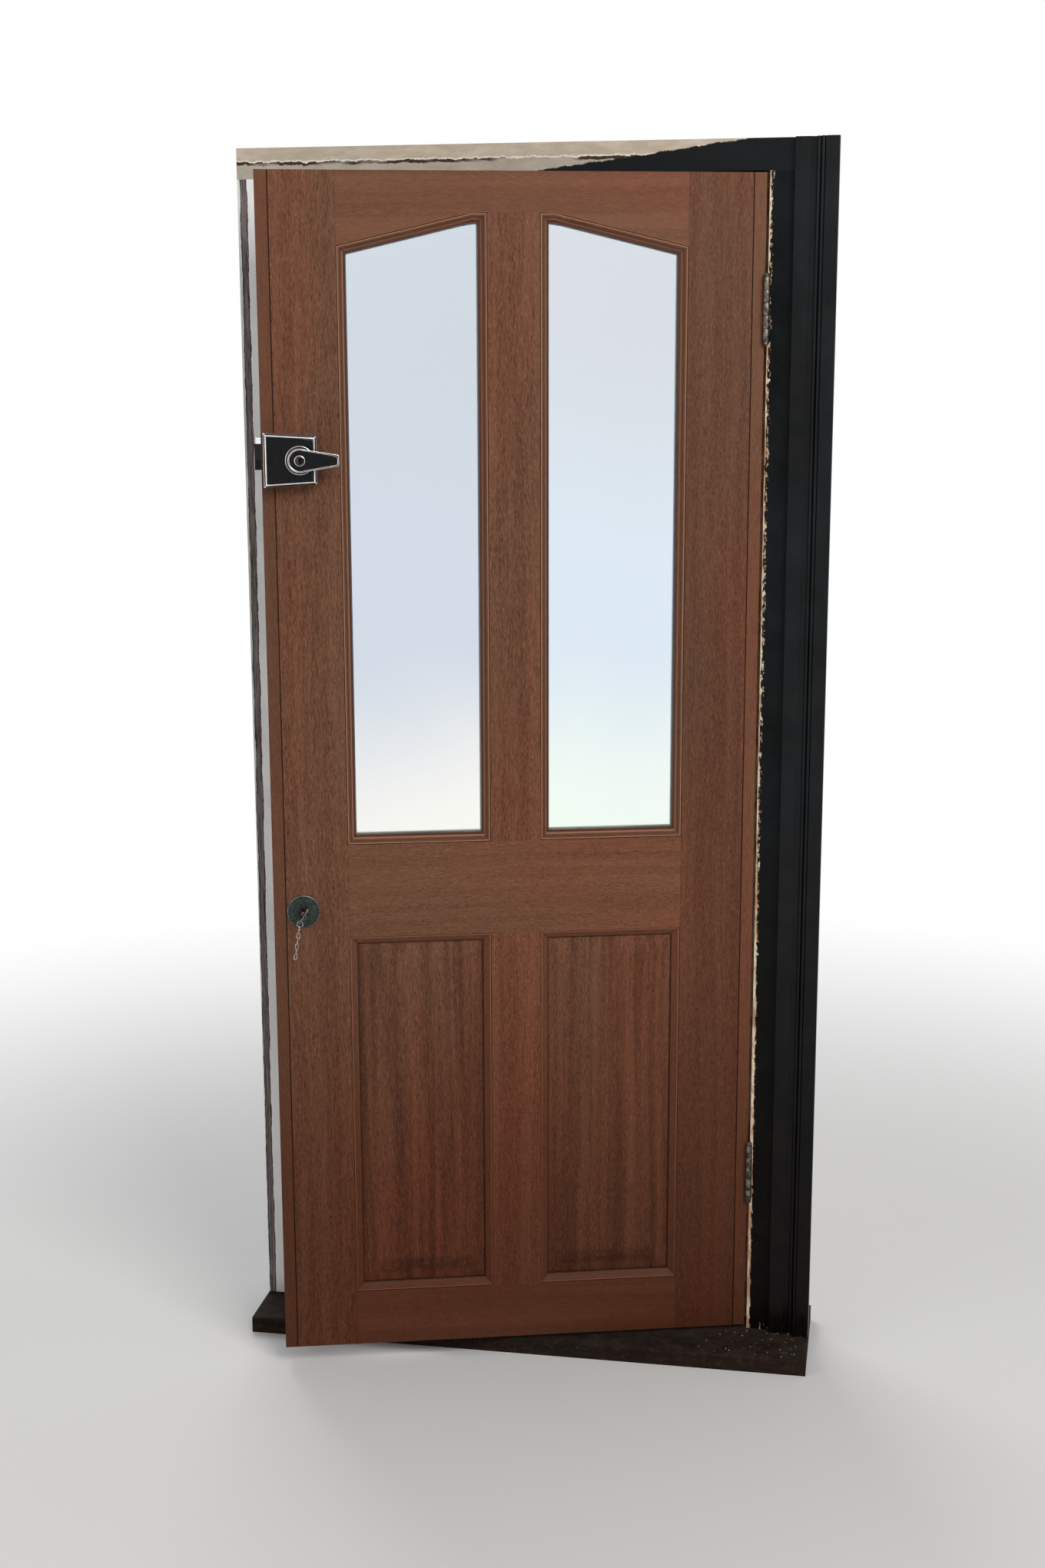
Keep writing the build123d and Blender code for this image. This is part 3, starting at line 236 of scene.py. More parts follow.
hair = figure.ramp(figure.noise(figure.times(spot, (1000.0, 680.0, 130.0)), 1.0, 2.0, 0.6), 0.3, 0.7)
tone = figure.math("MULTIPLY", figure.math("SUBTRACT", ribbon, 0.5), g["Ribbon"])
tone = figure.math("MULTIPLY_ADD", figure.math("MULTIPLY_ADD", streak, 0.6, -0.3), g["Streak"], tone)
tone = figure.math("MULTIPLY_ADD", figure.math("SUBTRACT", hair, 0.5), g["Streak"], tone)
tone = figure.math("ADD", tone, 0.5, clamp=True)
pore = figure.ramp(figure.noise(figure.times(spot, (1000.0, 680.0, 110.0)), 1.0, 1.0), 0.56, 0.66)
fleck = figure.ramp(figure.noise(figure.times(spot, (-1050.0, 700.0, 120.0)), 1.0, 1.0), 0.58, 0.68)
rows = figure.ramp(figure.noise(figure.times(spot, (80.0, 60.0, 3.5)), 1.0, 2.0), 0.36, 0.6)
pore = figure.math("MULTIPLY", pore, rows)
base = figure.mix(tone, g["Dark"], g["Light"])
deep = figure.mix(1.0, base, (0.50, 0.44, 0.44), "MULTIPLY")
glint = figure.mix(1.0, base, (1.45, 1.45, 1.48), "MULTIPLY")
base = figure.mix(figure.math("MULTIPLY", fleck, g["Pores"], clamp=True), base, glint)
figure.put(out["Color"], figure.mix(figure.math("MULTIPLY", pore, g["Pores"], clamp=True), base, deep))
figure.put(out["Roughness"], figure.ramp(hair, 0.0, 1.0, 0.48, 0.62))
figure.put(out["Height"], figure.math("SUBTRACT", figure.math("MULTIPLY", hair, 0.3), pore))

# dust and grime, heavier on faces that look up
dust = newGroup(
    "dustFilm", {"Place": "place", "Amount": "number", "Scale": "number"}, {"Mask": "number"}
)
g, out = dust.enter, dust.leave
facingUp = dust.split(dust.add("ShaderNodeNewGeometry").outputs["Normal"])[2]
cloud = dust.noise(g["Place"], g["Scale"], 5.0, 0.6)
mask = dust.math("MULTIPLY", dust.ramp(facingUp, 0.0, 0.9, 0.25, 1.0), dust.ramp(cloud, 0.35, 0.7))
dust.put(out["Mask"], dust.math("MULTIPLY", mask, g["Amount"], clamp=True))

# paint that has flaked off where Nearness is high
chips = newGroup(
    "paintChips",
    {"Place": "place", "Nearness": "number", "Amount": "number", "Scale": "number"},
    {"Mask": "number"},
)
g, out = chips.enter, chips.leave
ragged = chips.noise(chips.times(g["Place"], (1.0, 1.0, 0.4)), g["Scale"], 5.0, 0.7)
level = chips.math("MULTIPLY_ADD", g["Nearness"], g["Amount"], ragged)
chips.put(out["Mask"], chips.ramp(level, 0.8, 0.84))

# brush marks of thick old paint, along z
brushMarks = newGroup("brushMarks", {"Place": "place"}, {"Height": "number", "Cloud": "number"})
g, out = brushMarks.enter, brushMarks.leave
drawn = brushMarks.times(g["Place"], (420.0, 420.0, 7.0))
brushMarks.put(out["Height"], brushMarks.noise(drawn, 1.0, 4.0, 0.6))
brushMarks.put(out["Cloud"], brushMarks.noise(g["Place"], 7.0, 4.0, 0.6))
print("shared effects made")


# Modelling helpers
def dress(node, material):
    slots = frame["nodes"][node].data.materials
    slots.clear()
    slots.append(material)


def cleared():
    if bpy.context.mode != "OBJECT":
        bpy.ops.object.mode_set(mode="OBJECT")
    bpy.ops.object.select_all(action="DESELECT")


def opened(piece):
    cleared()
    piece.select_set(True)
    bpy.context.view_layer.objects.active = piece
    bpy.ops.object.mode_set(mode="EDIT")
    return piece


def choose(piece, kind, test):
    # selects the faces or vertices of the open piece that pass a test
    bpy.ops.mesh.select_mode(type=kind)
    bpy.ops.mesh.select_all(action="DESELECT")
    shape = bmesh.from_edit_mesh(piece.data)
    for item in {"FACE": shape.faces, "VERT": shape.verts}[kind]:
        if test(item):
            item.select_set(True)
    bmesh.update_edit_mesh(piece.data)


def closed(piece, smoothAngle=30):
    cleared()
    piece.select_set(True)
    bpy.context.view_layer.objects.active = piece
    bpy.ops.object.shade_smooth_by_angle(angle=math.radians(smoothAngle))
    return piece


def settled(piece, place=Matrix.Identity(4)):
    # the piece's place goes into its mesh
    bpy.context.view_layer.update()
    piece.data.transform(place @ piece.matrix_world)
    piece.matrix_world = Matrix.Identity(4)
    return piece


def joined(pieces, name):
    cleared()
    for piece in pieces:
        piece.select_set(True)
    bpy.context.view_layer.objects.active = pieces[0]
    bpy.ops.object.join()
    pieces[0].name = name
    return pieces[0]


def hand(piece, body, slotName, *nodes):
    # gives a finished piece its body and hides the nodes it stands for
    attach(piece, body)
    if nodes:
        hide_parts(*nodes)
    return piece


def softened(node, name, width, segments, arris, angle=28):
    # a merged copy of a CAD node with its arrises rounded and finished in their own way
    piece = bpy.data.objects.new(name, frame["nodes"][node].data.copy())
    scene.collection.objects.link(piece)
    piece.data.materials.append(arris)
    opened(piece)
    bpy.ops.mesh.select_all(action="SELECT")
    bpy.ops.mesh.remove_doubles(threshold=2e-6)
    bpy.ops.mesh.dissolve_limited(angle_limit=math.radians(0.4))
    bpy.ops.object.mode_set(mode="OBJECT")
    rounding = piece.modifiers.new("arrises", "BEVEL")
    rounding.width = width
    rounding.segments = segments
    rounding.limit_method = "ANGLE"
    rounding.angle_limit = math.radians(angle)
    rounding.use_clamp_overlap = False
    rounding.material = 1
    bpy.ops.object.modifier_apply(modifier=rounding.name)
    return closed(piece, 32)


# Wood of the leaf
leafWood = {
    "darkTone": (0.062, 0.0215, 0.0110),
    "lightTone": (0.250, 0.110, 0.064),
    # dark tone of the joints, also used for the painted shade in the quirks and on the lower panel bevels
    "jointAndShadeColour": (0.017, 0.007, 0.004),
    "paintedHighlightColour": (0.42, 0.22, 0.145),
    "lippingJoint": 0.386,
    "stileEdge": 0.2815,
    "bevelShadeMiddle": (0.1575, 0.176),
    "bevelShadeHalf": (0.076, 0.008),
    "bevelShadeStrength": 0.40,
    "lowerPaintedShade": (0.1, 0.95, 0.615, 1.0),
    "lowerPaintedShadePowers": (1.65, 2.05),
}
rings = {
    # outer edges of the rings, and the lines painted along their profiles: dark lines of painted shade in
    # the quirks and pale lines of painted highlight on the arrises, each (way in, half width, strength)
    "light": {
        "inner": 0.042, "outer": 0.2815, "bottom": 0.9335, "shoulder": 1.90105, "top": 1.9525, "slope": 13.4,
        "dark": ((0.0003, 0.0006, 0.92), (0.0060, 0.0006, 0.45), (0.0130, 0.0010, 0.45)),
        "pale": ((0.0020, 0.0004, 0.80), (0.0098, 0.0006, 0.85)),
    },
    "panel": {
        "inner": 0.042, "outer": 0.2815, "bottom": 0.133, "shoulder": 9.0, "top": 0.774, "slope": 0.0,
        "dark": ((0.0003, 0.0006, 0.80), (0.0136, 0.0008, 0.75)),
        "pale": ((0.0020, 0.0005, 0.45),),
    },
}
woodPieces = {
    # node: (way the grain runs, seed, shade, ribbon, streak, pores)
    "lock_stile": ("up", 1.0, 1.0, 0.22, 0.42, 0.9),
    "hinge_stile": ("up", 2.2, 0.79, 0.22, 0.42, 0.9),
    "lock_stile_lipping": ("up", 3.1, 0.86, 0.10, 0.26, 0.4),
    "hinge_stile_lipping": ("up", 4.4, 1.0, 0.10, 0.26, 0.4),
    "upper_muntin": ("up", 5.3, 1.0, 0.22, 0.42, 0.9),
    "lower_muntin": ("up", 6.7, 1.08, 0.22, 0.42, 0.9),
    "top_rail": ("across", 7.9, 1.08, 0.16, 0.20, 0.35),
    "mid_rail": ("across", 8.2, 1.10, 0.18, 0.34, 0.7),
    "bottom_rail": ("across", 9.6, 1.0, 0.16, 0.22, 0.35),
    "left_panel": ("up", 10.1, 0.90, 0.46, 0.42, 0.95),
    "right_panel": ("up", 11.5, 0.92, 0.46, 0.42, 0.95),
    "left_inner_bead": ("ring", 12.3, 0.95, 0.1, 0.22, 0.4),
    "right_inner_bead": ("ring", 13.4, 0.95, 0.1, 0.22, 0.4),
    "left_outer_bead": ("ring", 14.9, 0.95, 0.1, 0.22, 0.4),
    "right_outer_bead": ("ring", 15.2, 0.95, 0.1, 0.22, 0.4),
    "inner_panel_mouldings": ("ring", 16.6, 1.0, 0.1, 0.26, 0.5),
    "outer_panel_mouldings": ("ring", 17.8, 1.0, 0.1, 0.26, 0.5),
}
for node, (run, seed, shade, ribbonShare, streakShare, poreShare) in woodPieces.items():
    wood = newMaterial(node + "Wood", Metallic=0.0, Specular_IOR_Level=0.12)
    onClosed = onLeaf(wood)
    x, y, z = wood.split(onClosed)
    grain = onClosed
    if run == "across":
        grain = wood.join(z, y, x)
    elif run == "ring":
        ring = rings["panel" if "panel" in node else "light"]
        grain, corner, wayIn = ringGrain(wood, onClosed, ring)
    darkTone, lightTone = (tuple(c * shade for c in leafWood[k]) for k in ("darkTone", "lightTone"))
    made = wood.group(
        figure, Place=grain, Seed=seed, Dark=darkTone, Light=lightTone,
        Ribbon=ribbonShare, Streak=streakShare, Pores=poreShare,
    )
    reach = wood.math("ABSOLUTE", x)
    if run == "across":
        joint = wood.ramp(reach, leafWood["stileEdge"] - 0.001, leafWood["stileEdge"])
        jointAndCreaseShade = wood.math("MULTIPLY", joint, 0.55)
    elif run == "ring":
        jointAndCreaseShade = wood.math("MULTIPLY", corner, 0.5)
        # painted shade: dark lines in the quirks of the bead and moulding profiles
        for middle, half, strength in ring["dark"]:
            creaseShade = wood.math("MULTIPLY", wood.band(wayIn, middle, half, 0.0004), strength)
            jointAndCreaseShade = wood.math("MAXIMUM", jointAndCreaseShade, creaseShade)
    elif "stile" in node:
        # dark line at the lipping joint: partly grime and partly painted shade in the groove
        jointAndCreaseShade = wood.math("MULTIPLY", wood.band(reach, leafWood["lippingJoint"], 0.0007, 0.0006), 0.85)
    else:
        jointAndCreaseShade = 0.0
    hue = wood.noise(wood.times(grain, (7.0, 7.0, 1.6)), 1.0, 1.0)
    hue = wood.mix(wood.ramp(hue, 0.35, 0.65), (1.05, 0.95, 0.90), (0.96, 1.04, 1.02))
    surface = wood.mix(1.0, made["Color"], hue, "MULTIPLY")
    surface = wood.mix(jointAndCreaseShade, surface, leafWood["jointAndShadeColour"])
    if run == "ring":
        # painted highlight: pale lines along the arrises of the profiles
        for middle, half, strength in ring["pale"]:
            arris = wood.math("MULTIPLY", wood.band(wayIn, middle, half, 0.0004), strength)
            surface = wood.mix(arris, surface, leafWood["paintedHighlightColour"])
    if run == "up" and "panel" in node:
        # painted shade: a dark, blotchy band along the lower bevel of the raised field
        (aside, up), (halfWidth, halfHeight) = leafWood["bevelShadeMiddle"], leafWood["bevelShadeHalf"]
        bevelShade = wood.math(
            "MULTIPLY", wood.band(reach, aside, halfWidth, 0.012), wood.band(z, up, halfHeight, 0.009)
        )
        blotch = wood.noise(wood.times(onClosed, (70.0, 60.0, 150.0)), 1.0, 3.0, 0.6)
        bevelShade = wood.math("MULTIPLY", bevelShade, wood.ramp(blotch, 0.3, 0.6, 0.25, 1.0))
        bevelShade = wood.math("MULTIPLY", bevelShade, leafWood["bevelShadeStrength"])
        surface = wood.mix(bevelShade, surface, leafWood["jointAndShadeColour"])
    # painted shade: the wood darkens and reddens towards the bottom, standing in for light falling off down
    # the leaf
    lower = wood.ramp(z, *leafWood["lowerPaintedShade"])
    paintedFalloff = wood.join(lower, *(wood.math("POWER", lower, power) for power in leafWood["lowerPaintedShadePowers"]))
    surface = wood.mix(1.0, surface, paintedFalloff, "MULTIPLY")
    wood.put(wood.shader["Base Color"], surface)
    wood.put(wood.shader["Roughness"], made["Roughness"])
    wood.put(wood.shader["Normal"], wood.bump(made["Height"], 0.4, 0.0003))
    dress(node, wood.material)
print("wood done")

# Painted frame
frameTones = {
    "slateDark": (0.0020, 0.0028, 0.0034),
    "slateLight": (0.0065, 0.0085, 0.0105),
    "slateLow": (0.0030, 0.0023, 0.0021),
    "chipCream": (0.78, 0.64, 0.47),
    "chipTimber": (0.46, 0.25, 0.15),
    "dustTone": (0.040, 0.036, 0.031),
    "paleGreen": (0.62, 0.68, 0.60),
    "white": (0.93, 0.93, 0.92),
    "rawDark": (0.050, 0.038, 0.036),
    "rawLight": (0.27, 0.225, 0.215),
    "headCream": (0.62, 0.54, 0.43),
    "headShade": (0.36, 0.30, 0.225),
}


def slatePaint(name, chipShare, gloss, bareReach=None):
    # near-black paint, darker and browner towards the bottom, flaked at the foot and bare beside the leaf
    tree = newMaterial(name, Specular_IOR_Level=gloss)
    marks = tree.group(brushMarks, Place=tree.object)
    x, y, z = tree.split(tree.object)
    cloud = tree.ramp(marks["Cloud"], 0.35, 0.65)
    slate = tree.mix(cloud, frameTones["slateDark"], frameTones["slateLight"])
    colour = tree.mix(tree.ramp(z, 0.25, 1.3), frameTones["slateLow"], slate)
    film = tree.group(dust, Place=tree.object, Amount=0.35, Scale=24.0)["Mask"]
    colour = tree.mix(film, colour, frameTones["dustTone"])
    ragged = tree.noise(tree.times(tree.object, (1.0, 1.0, 0.3)), 160.0, 4.0, 0.7)
    edge = tree.math("MULTIPLY_ADD", tree.math("SUBTRACT", ragged, 0.5), 0.008, x)
    atRoom = tree.ramp(y, 0.010, 0.014, 1.0, 0.0)
    border = tree.ramp(z, 0.5, 1.2, *(bareReach or (0.0, 0.0)))
    bareShare = tree.ramp(tree.math("SUBTRACT", edge, border), 0.0, 0.0004, 1.0, 0.0)
    bareShare = tree.math("MULTIPLY", bareShare, atRoom)
    beside = tree.math("MULTIPLY", tree.ramp(x, 0.412, 0.424, 1.0, 0.0), atRoom)
    near = tree.math("MAXIMUM", beside, tree.ramp(z, 0.03, 0.075, 0.75, 0.0))
    flaked = tree.group(chips, Place=tree.object, Nearness=near, Amount=chipShare, Scale=230.0)["Mask"]
    flaked = tree.math("MAXIMUM", flaked, bareShare)
    speck = tree.noise(tree.times(tree.object, (1.0, 1.0, 0.25)), 120.0, 4.0, 0.65)
    bare = tree.mix(tree.ramp(speck, 0.40, 0.60), frameTones["chipTimber"], frameTones["chipCream"])
    tree.put(tree.shader["Base Color"], tree.mix(flaked, colour, bare))
    shine = tree.ramp(marks["Height"], 0.3, 0.7, 0.16, 0.34)
    tree.put(tree.shader["Roughness"], tree.blend(flaked, shine, 0.8))
    height = tree.math("SUBTRACT", marks["Height"], flaked)
    tree.put(tree.shader["Normal"], tree.bump(height, 0.3, 0.0006))
    return tree.material


dress("hinge_jamb", slatePaint("hingeJambPaint", 0.30, 0.07, (0.4142, 0.4108)))
dress("hinge_side_architrave", slatePaint("architravePaint", 0.22, 0.14))

# head: cream on the left, dark paint growing towards the hinges
headPaint = {
    "wedgeHeight": 2.014,
    "wedgeSlope": 0.13,
    "raggedness": 0.012,
    "tearDepth": 0.014,
    "lipTop": 2.0455,
    "gap": (2.0432, 0.0024),
    "paleEdge": (2.0468, 0.0009),
    "lipDark": (0.30, 0.26, 0.20),
    "lipLight": (0.62, 0.57, 0.49),
    "gapTone": (0.050, 0.033, 0.021),
    "edgeTone": (0.84, 0.78, 0.68),
}
head = newMaterial("headPaint", Specular_IOR_Level=0.12)
x, y, z = head.split(head.object)
marks = head.group(brushMarks, Place=head.join(z, y, x))
ragged = head.noise(head.object, 45.0, 4.0, 0.7)
wedge = head.math("MULTIPLY_ADD", x, headPaint["wedgeSlope"], headPaint["wedgeHeight"])
wedge = head.math("MULTIPLY_ADD", ragged, headPaint["raggedness"], wedge)
darkShare = head.ramp(head.math("SUBTRACT", wedge, z), -0.001, 0.001)
grime = head.noise(head.times(head.object, (22.0, 60.0, 60.0)), 1.0, 5.0, 0.65)
torn = head.noise(head.times(head.object, (60.0, 60.0, 40.0)), 1.0, 5.0, 0.75)
torn = head.math("MULTIPLY_ADD", head.math("SUBTRACT", torn, 0.5), headPaint["tearDepth"], z)
cream = head.mix(head.ramp(grime, 0.38, 0.66, 0.45, 0.0), frameTones["headCream"], frameTones["headShade"])
lip = head.mix(grime, headPaint["lipDark"], headPaint["lipLight"])
cream = head.mix(head.ramp(torn, headPaint["lipTop"], headPaint["lipTop"] + 0.0005), lip, cream)
shadowed = head.band(torn, *headPaint["gap"], 0.0005)
patchy = head.ramp(head.noise(head.times(head.object, (7.0, 30.0, 30.0)), 1.0, 3.0), 0.36, 0.46)
cream = head.mix(head.math("MULTIPLY", shadowed, patchy), cream, headPaint["gapTone"])
cream = head.mix(head.band(torn, *headPaint["paleEdge"], 0.0005), cream, headPaint["edgeTone"])
slate = head.mix(marks["Cloud"], frameTones["slateDark"], frameTones["slateLight"])
head.put(head.shader["Base Color"], head.mix(darkShare, cream, slate))
head.put(head.shader["Roughness"], head.blend(darkShare, 0.6, 0.3))
head.put(head.shader["Normal"], head.bump(head.math("ADD", grime, darkShare), 0.35, 0.0008))
dress("frame_head", head.material)

# lock jamb: white beside the rebate, a raw torn strip, then pale green
jambStrip = {
    "middle": 0.4640,
    "half": 0.0050,
    "raggedness": 0.007,
    "rimHalf": (0.0058, 0.0042),
    "rimTone": (0.020, 0.015, 0.014),
    "whiteShade": (0.82, 0.83, 0.82),
    "greenLight": (0.80, 0.83, 0.78),
}
jamb = newMaterial("lockJambPaint", Specular_IOR_Level=0.25)
marks = jamb.group(brushMarks, Place=jamb.object)
x, y, z = jamb.split(jamb.object)
tear = jamb.noise(jamb.times(jamb.object, (1.0, 1.0, 0.35)), 70.0, 5.0, 0.65)
reach = jamb.math("ADD", jamb.math("ABSOLUTE", x), jamb.ramp(z, 0.0, 2.0, -0.0035, 0.0))
reach = jamb.math("MULTIPLY_ADD", jamb.math("SUBTRACT", tear, 0.5), jambStrip["raggedness"], reach)
middle = jambStrip["middle"]
strip = jamb.band(reach, middle, jambStrip["half"], 0.0006)
cloud = jamb.ramp(marks["Cloud"], 0.4, 0.6)
white = jamb.mix(cloud, jambStrip["whiteShade"], frameTones["white"])
green = jamb.mix(cloud, frameTones["paleGreen"], jambStrip["greenLight"])
paintColour = jamb.mix(jamb.ramp(reach, middle, middle + 0.0001), white, green)
raw = jamb.mix(jamb.ramp(marks["Height"], 0.35, 0.65), frameTones["rawDark"], frameTones["rawLight"])
fibre = jamb.ramp(jamb.noise(jamb.times(jamb.object, (520.0, 520.0, 16.0)), 1.0, 4.0, 0.65), 0.35, 0.62)
fibrous = jamb.mix(fibre, frameTones["rawDark"], frameTones["rawLight"])
raw = jamb.mix(jamb.ramp(tear, 0.4, 0.6), raw, fibrous)
outside = jamb.band(reach, middle, jambStrip["rimHalf"][0], 0.0005)
inside = jamb.band(reach, middle, jambStrip["rimHalf"][1], 0.0008)
rim = jamb.math("SUBTRACT", outside, inside, clamp=True)
paintColour = jamb.mix(rim, paintColour, jambStrip["rimTone"])
raw = jamb.mix(rim, raw, jambStrip["rimTone"])
jamb.put(jamb.shader["Base Color"], jamb.mix(strip, paintColour, raw))
jamb.put(jamb.shader["Roughness"], jamb.blend(strip, 0.38, 0.8))
jamb.put(jamb.shader["Normal"], jamb.bump(jamb.math("SUBTRACT", marks["Height"], strip), 0.35, 0.0007))
dress("lock_jamb", jamb.material)

# worn threshold board
boardTones = {
    "dark": (0.0030, 0.0018, 0.0012),
    "light": (0.025, 0.013, 0.008),
    "dust": (0.042, 0.033, 0.025),
    "scrape": (0.20, 0.17, 0.14),
}
board = newMaterial("thresholdTimber", Roughness=0.78, Specular_IOR_Level=0.10)
x, y, z = board.split(board.object)
made = board.group(
    figure, Place=board.join(z, y, x), Seed=21.0, Dark=boardTones["dark"], Light=boardTones["light"],
    Ribbon=0.5, Streak=0.5, Pores=0.9,
)
film = board.group(dust, Place=board.object, Amount=0.45, Scale=30.0)["Mask"]
surface = board.mix(film, made["Color"], boardTones["dust"])
scrape = board.noise(board.times(board.object, (34.0, 60.0, 60.0)), 1.0, 5.0, 0.6)
scrape = board.math("MULTIPLY", board.band(scrape, 0.5, 0.0016, 0.0014), 0.35)
board.put(board.shader["Base Color"], board.mix(scrape, surface, boardTones["scrape"]))
rough = board.math("MULTIPLY_ADD", board.noise(board.object, 60.0, 5.0, 0.7), 1.4, made["Height"])
board.put(board.shader["Normal"], board.bump(rough, 0.6, 0.0012))
dress("threshold", board.material)
print("frame done")

# Obscured glass with painted light in its tint, the daylight from outdoors: cream low down on the left,
# green low down on the right, bluish above
glassTones = {
    "left": ((0.945, 0.93, 0.885), (0.655, 0.705, 0.79), (0.635, 0.685, 0.745)),
    "right": ((0.90, 0.965, 0.89), (0.725, 0.805, 0.89), (0.70, 0.735, 0.78)),
}
glassRise = {"lower": (1.05, 1.42), "upper": (1.5, 1.95)}
for side, (low, mid, high) in glassTones.items():
    for layer in ("inner", "outer"):
        name = side + layer.capitalize() + "Glass"
        pane = newMaterial(name, Metallic=0.0, Transmission_Weight=1.0, IOR=1.12)
        z = pane.split(pane.object)[2]
        if layer == "inner":
            drift = pane.noise(pane.times(onLeaf(pane), (3.0, 3.0, 1.5)), 1.0, 2.0)
            height = pane.math("MULTIPLY_ADD", drift, 0.25, z)
            tint = pane.mix(pane.ramp(height, *glassRise["upper"]), mid, high)
            tint = pane.mix(pane.ramp(height, *glassRise["lower"]), low, tint)
            pane.put(pane.shader["Base Color"], tint)
            pane.put(pane.shader["Roughness"], 0.3)
            satin = pane.noise(pane.object, 900.0, 2.0)
            pane.put(pane.shader["Normal"], pane.bump(satin, 0.08, 0.0002))
        else:
            pane.put(pane.shader["Base Color"], (0.99, 1.0, 1.0))
            pane.put(pane.shader["Roughness"], 0.5)
        dress(f"{side}_{layer}_pane", pane.material)
spacer = newMaterial("spacerBar", Roughness=0.45, Metallic=0.0)
speckle = spacer.noise(spacer.object, 260.0, 2.0)
spacer.put(spacer.shader["Base Color"], spacer.mix(speckle, (0.30, 0.30, 0.30), (0.52, 0.52, 0.51)))
for side in ("left", "right"):
    dress(side + "_spacer_bar", spacer.material)


# Metals
def metal(name, dark, light, rough, scratch, metallic=1.0, scale=80.0, specular=0.5):
    tree = newMaterial(name, Metallic=metallic, Specular_IOR_Level=specular)
    cloud = tree.noise(tree.object, scale, 4.0, 0.6)
    tree.put(tree.shader["Base Color"], tree.mix(tree.ramp(cloud, 0.35, 0.65), dark, light))
    fine = tree.noise(tree.object, scale * 14, 3.0, 0.7)
    tree.put(tree.shader["Roughness"], tree.ramp(fine, 0.3, 0.7, rough - 0.05, rough + 0.07))
    tree.put(tree.shader["Normal"], tree.bump(fine, scratch, 0.00005))
    return tree.material


chromeEdge = metal("chromeEdge", (0.70, 0.70, 0.70), (0.88, 0.88, 0.88), 0.13, 0.05)
darkChrome = metal("darkChrome", (0.035, 0.031, 0.028), (0.075, 0.064, 0.056), 0.13, 0.05, 1.0, 60.0)
keepChrome = metal("keepChrome", (0.34, 0.34, 0.34), (0.60, 0.60, 0.60), 0.16, 0.05)
blackGloss = metal(
    "blackGloss", (0.0025, 0.0028, 0.0035), (0.0050, 0.0055, 0.0070), 0.09, 0.03, 0.0, 80.0, 0.14
)
hingeSteel = metal("hingeSteel", (0.05, 0.040, 0.033), (0.19, 0.165, 0.14), 0.42, 0.4, 1.0, 160.0)
hingeEdge = metal("hingeEdge", (0.020, 0.016, 0.013), (0.09, 0.075, 0.06), 0.45, 0.4, 1.0, 160.0)
screwSteel = metal("screwSteel", (0.12, 0.11, 0.10), (0.34, 0.32, 0.29), 0.35, 0.2, 1.0, 240.0)
lockSteel = metal("lockSteel", (0.22, 0.22, 0.225), (0.38, 0.38, 0.385), 0.35, 0.2)
dullBrass = metal("dullBrass", (0.30, 0.20, 0.09), (0.55, 0.40, 0.20), 0.3, 0.2)
discGrey = metal("discGrey", (0.012, 0.017, 0.0145), (0.045, 0.056, 0.048), 0.34, 0.5, 0.8, 330.0)
discEdge = metal("discEdge", (0.08, 0.095, 0.085), (0.24, 0.27, 0.25), 0.30, 0.4, 0.9, 200.0)
keyMetal = metal("keyMetal", (0.020, 0.017, 0.014), (0.085, 0.075, 0.062), 0.3, 0.3, 1.0, 300.0)
keyEdge = metal("keyEdge", (0.22, 0.19, 0.16), (0.50, 0.46, 0.41), 0.28, 0.3, 1.0, 300.0)
nickel = metal("nickel", (0.14, 0.13, 0.12), (0.62, 0.60, 0.57), 0.2, 0.1, 1.0, 520.0)
for node, material in {
    "upper_hinge_frame_plate": hingeSteel, "upper_hinge_leaf_plate": hingeSteel,
    "upper_hinge_pin": hingeSteel, "lower_hinge_frame_plate": hingeSteel,
    "lower_hinge_leaf_plate": hingeSteel, "lower_hinge_pin": hingeSteel,
    "frame_hinge_screws": screwSteel, "leaf_hinge_screws": screwSteel,
    "night_latch_screws": screwSteel, "jamb_lock_screws": screwSteel, "deadlock_screws": screwSteel,
    "night_latch_back_plate": lockSteel, "deadlock_case": lockSteel, "deadlock_strike_plate": lockSteel,
    "night_latch_case": darkChrome, "turn_lever": darkChrome, "latch_keep": keepChrome,
    "night_latch_face": blackGloss, "lever_inlay": blackGloss, "latch_keep_cover": blackGloss,
    "latch_bolt": dullBrass, "deadbolt": dullBrass, "deadlock_forend": dullBrass,
    "inside_cylinder": darkChrome, "rim_cylinder": dullBrass, "rim_cylinder_ring": dullBrass,
    "inside_escutcheon": discGrey, "outside_escutcheon": dullBrass,
    "key": keyMetal, "key_chain": nickel,
}.items():
    dress(node, material)
print("metals done")

